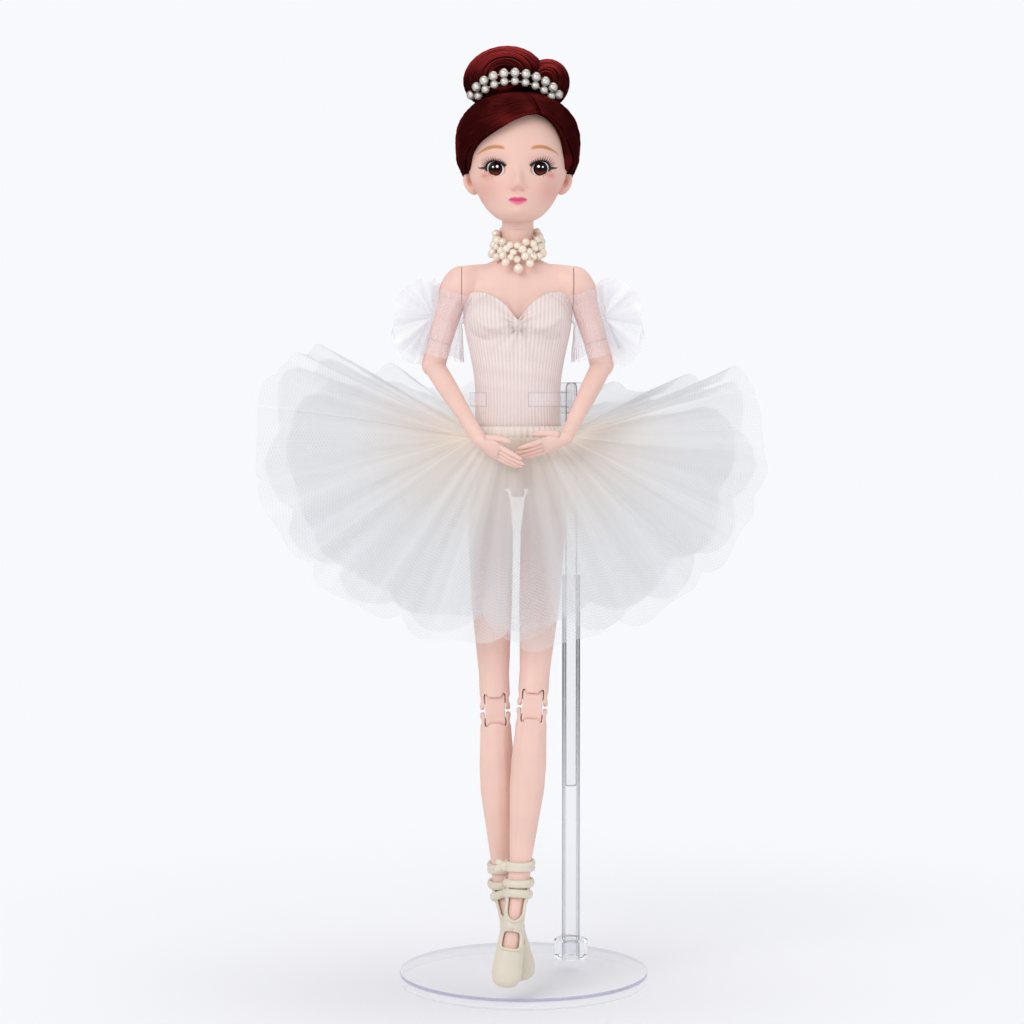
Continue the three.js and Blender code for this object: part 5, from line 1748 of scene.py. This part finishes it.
def trunk_point(turn: float, z: float, grow: float) -> Vector:
    """Point around the trunk with the bust shaped.

    Args:
        turn: angle in degrees from straight ahead.
        z: height in millimetres.
        grow: distance outside the body.

    Returns:
        The point in the doll's frame.
    """
    point = oval(TRUNK, math.radians(turn), z, grow)
    across, up = (abs(point.x) - 7.4) / (8.2 + grow), (z - 221.5) / (7.4 + grow)
    inside = 1 - across**2 - up**2
    if inside > 0 and math.cos(math.radians(turn)) > 0:
        cup, gap = -5.4 - (7.2 + grow) * math.sqrt(inside), 1.2
        blend = min(max(0.5 + 0.5 * (point.y - cup) / gap, 0.0), 1.0)
        point.y += (cup - point.y) * blend - gap * blend * (1 - blend) * 0.5
    return point


@dataclass(frozen=True)
class Layer:
    """Sizes of one net layer of the skirt."""

    name: str
    reach: float
    drop: float
    folds: float
    depth: float
    loose: float
    sag: float
    petals: float
    notch: float
    phase: float
    node: str


class Gore(Enum):
    """Panels of a skirt layer: first and last angle in degrees, and steps between them."""

    FRONT_RIGHT = (-96, 0, 150)
    FRONT_LEFT = (0, 96, 150)
    BACK = (96, 264, 220)


@dataclass(frozen=True)
class Clothes:
    """Knitted bodice, waistband, net skirt, sleeves and pearl choker."""

    finishes: Finishes
    top: tuple[Pair, ...] = ((0, 220.9), (2, 223.2), (3.8, 225.6), (6.6, 228.0), (9.6, 229.7), (13.2, 230.4),
                             (16.8, 229.8), (30, 229.0))
    back_top: float = 226.0
    hem: float = 183.5
    band_top: float = 185.8
    band_deep: float = 4.4
    waist: float = 182.1
    layers: tuple[Layer, ...] = (
        Layer("tutu", 72, 4.5, 14, 2.0, 1.4, 0.0, 14, 7.0, 0.3, "tutu"),
        Layer("middle", 67.5, 4, 17, 1.2, 0.9, 0.05, 17, 5.0, 1.4, ""),
        Layer("lining", 62, 1, 11, 1.0, 0.3, 0.14, 12, 4.0, 0.9, "tutu_lining"))
    pearl_rows: tuple[tuple[float, float, float, int], ...] = (
        (7.5, 249.0, 2.9, 18), (7.9, 246.4, 2.6, 19), (8.5, 243.8, 2.2, 20))
    drops: tuple[Point, ...] = ((-4.0, 240.0, 1.4), (0.2, 238.0, 1.6), (4.0, 239.7, 1.4))
    knot: float = 219.4
    under_bust: float = 216.2
    sleeve_top: float = -1.2
    sleeve_long: float = 22.0
    sleeve_waist: float = 0.46
    fan_at: float = -11.4
    bodice_flat: float = 0.088
    bodice_share: float = 0.9
    hem_radius: float = 0.088
    gore_share: float = 0.8
    band_flat: float = 0.010
    sleeve_flat: float = 0.045
    fan_flat: float = 0.060

    def neckline(self, turn: float, x: float) -> float:
        """Height of the bodice's upper edge."""
        front = between(self.top, abs(x))[1]
        return self.back_top + (front - self.back_top) * ease(-0.25, 0.15, math.cos(math.radians(turn)))

    def gathers(self, x: float, z: float) -> float:
        """How far the gathered front stands out at a place, in millimetres."""
        w = z - self.knot
        reach, ray = math.hypot(x, w), math.atan2(w, abs(x) + 0.3)
        folds = 0.6 * (1 + math.cos(11 * ray + 0.6)) * bell((reach, 0, 9.5)) * ease(0.6, 3.0, reach)
        knot = 1.6 * bell((x, 0, 1.7), (w, 0, 1.9))
        under = self.under_bust + 0.055 * (abs(x) - 6.0) ** 2
        roll = 1.35 * bell((z, under + 1.5, 1.5), ((x / 14) ** 2, 0, 1)) * ease(under - 0.5, under + 0.9, z)
        twist = 0.35 * math.sin(2.3 * w + 1.5 * x) * bell((x, 0, 2.0), (w, 0, 3.0))
        return folds + roll + knot + twist

    def bodice(self) -> None:
        """Build the ribbed bodice with its gathered knot in front and its edge turned in."""
        batch, rows, sides = Batch(), 150, 288

        def place(i: int, j: int) -> tuple[Vector, Pair]:
            """Point and map of a step round the trunk."""
            turn, v = 360 * j / sides - 180, min(i, rows) / rows
            high = self.neckline(turn, trunk_point(turn, 222.0, 1.0).x)
            z = self.hem + (high - self.hem) * v
            point = trunk_point(turn, z, 0.9 + 0.35 * bell((v, 1, 0.025)) - 0.55 * max(i - rows, 0))
            if math.cos(math.radians(turn)) > 0:
                point.y -= self.gathers(point.x, z)
            point.y -= 0.22 * math.sin(0.9 * z + math.radians(turn) * 2) * bell((z, 204, 7))
            return point, (math.radians(turn) * 15.2, z)

        batch.grid(rows + 2, sides, place)
        piece = batch.piece("knit_bodice", self.finishes.knit, None, "bodice")
        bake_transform(piece)
        area = cloth_area(piece)

    def waistband(self) -> None:
        """Build the gathered band that holds the skirt."""
        batch, rows, sides = Batch(), 10, 240

        def place(i: int, j: int) -> tuple[Vector, Pair]:
            """Point and map of a step round the waist."""
            turn, v = 360 * j / sides - 180, i / rows
            pleat = 0.5 * math.sin(math.pi * v) + 0.28 * math.sin(math.radians(turn) * 46)
            return trunk_point(turn, self.band_top - self.band_deep * v, 1.7 + pleat), (math.radians(turn) * 16, 4 * v)

        batch.grid(rows, sides, place, flip=True)
        piece = batch.piece("gathered_waistband", self.finishes.band, "hips", "skirt_waistband")
        area = cloth_area(piece)

    def skirt_point(self, degrees: float, v: float, size: Layer) -> Vector:
        """Point of one net layer of the skirt.

        Args:
            degrees: angle from straight ahead.
            v: place from waist, 0, to hem, 1.
            size: the layer's sizes.

        Returns:
            The point in the doll's frame.
        """
        a = math.radians(degrees)
        s, c = math.sin(a), math.cos(a)
        front, back = max(c, 0.0), max(-c, 0.0)
        start = Vector(((16 + size.loose) * s, 0.8 - (12.2 + size.loose) * c,
                        self.waist - size.sag * 9 * (1 - front)))
        petal = abs(math.sin(a * size.petals / 2 + size.phase))
        length = size.reach - size.drop * front**2 - 6 * back + 1.6 * math.cos(a * size.folds)
        length -= 5.0 * max(s, 0.0) ** 2 + size.notch * (1 - petal) ** 2.2 * (0.35 + 0.65 * front)
        out = Vector((s, 0.92 * back, -0.97 * front - 0.06 - size.sag + 0.5 * min(back * 2, 0.6))).normalized()
        belly = front * (0.44 - size.sag) * length * v * (0.3 + 0.7 * v)
        wave = a * size.folds + size.phase + 0.5 * math.sin(a * 5 + size.phase)
        fold = (a * size.folds * 1.35 + 0.8 * math.sin(a * 3 + size.phase)) / math.tau
        ripple = size.depth * (v * math.sin(wave) + 0.45 * v * v * math.sin(a * size.folds * 2.3 + 1.7)
                               + 1.1 * v**0.7 * (abs((fold % 1.0) * 2 - 1) ** 0.8 - 0.5)
                               + 0.5 * v * noise.noise(Vector((s * 6, c * 6, v * 2.5 + size.phase))))
        ripple += 0.176 * math.sin(a * 74 + size.phase) * v**0.4 * (1 - v) ** 1.5
        lifted = 5.5 * bell((abs(facing(degrees)), 112, 26)) + 9.0 * bell((degrees % 360, 232, 26))
        return start + out * (length * v) + Vector((0, -belly - ripple * front, ripple * (1 - front) + lifted * v))

    def gore(self, size: Layer, gore: Gore) -> None:
        """Build one panel of one net layer."""
        first, last, steps = gore.value
        batch, rows, panel = Batch(), 46, gore.name.lower()

        def place(i: int, j: int) -> tuple[Vector, Pair]:
            """Point and map of a step along the panel."""
            turn = first + (last - first) * j / steps
            return self.skirt_point(turn, i / rows, size), (math.radians(turn) * 46, size.reach * i / rows)

        batch.grid(rows, steps, place, wrap=False, flip=True)
        swings = gore is Gore.FRONT_LEFT
        piece = batch.piece(f"net_{size.name}_{panel}",
                            self.finishes.lining if size.name == "lining" else self.finishes.tulle,
                            None if swings else "hips", *([f"{size.node}_{panel}"] if size.node else []))
        if swings:
            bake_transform(piece)
        area, edge = cloth_area(piece), math.radians(last - first) * self.hem_radius

    def net_band(self, side: Side) -> None:
        """Build the sheer band round a side's upper arm."""
        at, batch, rows, steps = side.arm(), Batch(), 36, 96

        def place(i: int, j: int) -> tuple[Vector, Pair]:
            """Point and map of a step round the arm."""
            a, v = math.tau * j / steps, i / rows
            far = abs(v - self.sleeve_waist) * 2
            crumple = noise.noise(Vector((3 * math.cos(a), 3 * math.sin(a), 3 * v)))
            r = 5.9 + 2.3 * far**1.3 - 0.5 * bell((v, self.sleeve_waist, 0.06))
            r *= 1 + 0.05 * math.sin(a * 17 + 4 * v) * (0.4 + far) + 0.07 * crumple
            point = Vector((r * math.cos(a) - 0.6 * side.sign * far, r * math.sin(a) * 0.95,
                            self.sleeve_top - self.sleeve_long * v))
            return at @ point, (a * 7, 60 + v * 20)

        batch.grid(rows, steps, place, wrap=False, flip=True)
        self.declare(batch.piece(f"{side.name}_net_band", self.finishes.sheer, f"{side.name}_upper_arm"),
                     self.sleeve_flat, side)

    def net_fan(self, side: Side) -> None:
        """Build the fan of gathered net outside a side's band."""
        at, batch, rows, steps = side.arm(), Batch(), 22, 150
        for layer in range(3):
            def place(i: int, j: int) -> tuple[Vector, Pair]:
                """Point and map of a step along the fan."""
                a, v = math.radians(96 + 178 * j / steps + 8 * (layer - 1)), i / rows
                ripple = math.sin(a * 9 + layer * 2.1) + 0.25 * math.sin(a * 21 + layer)
                reach = 12.8 - 0.8 * layer + 4.0 * ease(150, 262, math.degrees(a))
                r = reach * v * (1 + 0.1 * math.sin(a * 3 + 1.3 * layer) + 0.03 * ripple)
                deep = (layer - 1) * 2.6 * v + 1.3 * ripple * v**1.3 + 1.6 * v * v * math.sin(a * 2.0 + layer * 2)
                point = Vector((side.sign * (4.4 - r * math.cos(a)), deep - 0.6, self.fan_at + r * math.sin(a)))
                return at @ point, (a * 9, 26 * v)

            batch.grid(rows, steps, place, wrap=False, flip=True)
        self.declare(batch.piece(f"{side.name}_net_fan", self.finishes.puff, f"{side.name}_upper_arm",
                                 f"{side.name}_sleeve"), self.fan_flat, side)

    def declare(self, piece: bpy.types.Object, width: float, side: Side) -> None:
        """Work out the area of a sleeve's net, which is then dropped.

        Args:
            piece: the net.
            width: width of the flat cut in metres; not used.
            side: the doll's side; not used.
        """
        area = cloth_area(piece)

    def choker(self) -> None:
        """Build three rows of pearls round the neck and the three drops."""
        batch = Batch()
        for radius, height, lean, count in self.pearl_rows:
            ring = []
            for i in range(count):
                a = math.tau * (i + 0.5 * (count % 2)) / count
                ring.append(Vector((radius * math.sin(a) + 0.25 * math.sin(i * 5.1 + height),
                                    0.6 - radius * math.cos(a),
                                    height - lean * math.cos(a) + 0.55 * math.sin(i * 3.7 + height))))
                bead(batch, ring[i], 1.36 + 0.12 * math.sin(i * 2.3 + height))
            batch.tube([*ring, ring[0]], [0.2] * (count + 1))
        for x, z, size in self.drops:
            drop = Vector((x, -8.4, z))
            bead(batch, drop, size)
            batch.tube([drop + Vector((0, 0.2, 2.6)), drop], [0.2, 0.2])
        batch.piece("pearls", self.finishes.pearl, "chest", "pearl_choker")

    def build(self) -> None:
        """Build every garment and the choker."""
        self.bodice()
        self.waistband()
        for size in self.layers:
            for gore in Gore:
                self.gore(size, gore)
        for side in SIDES:
            self.net_band(side)
            self.net_fan(side)
        self.choker()


def main() -> None:
    """Dress the doll and light it."""
    logging.basicConfig(level=logging.INFO, format="%(message)s")
    bpy.ops.object.select_all(action="DESELECT")
    finishes = Finishes()
    for maker in (Stand, Limbs, Shoes, Face, Hair, Clothes):
        maker(finishes).build()
    Studio().build()


if __name__ == "__main__":
    main()
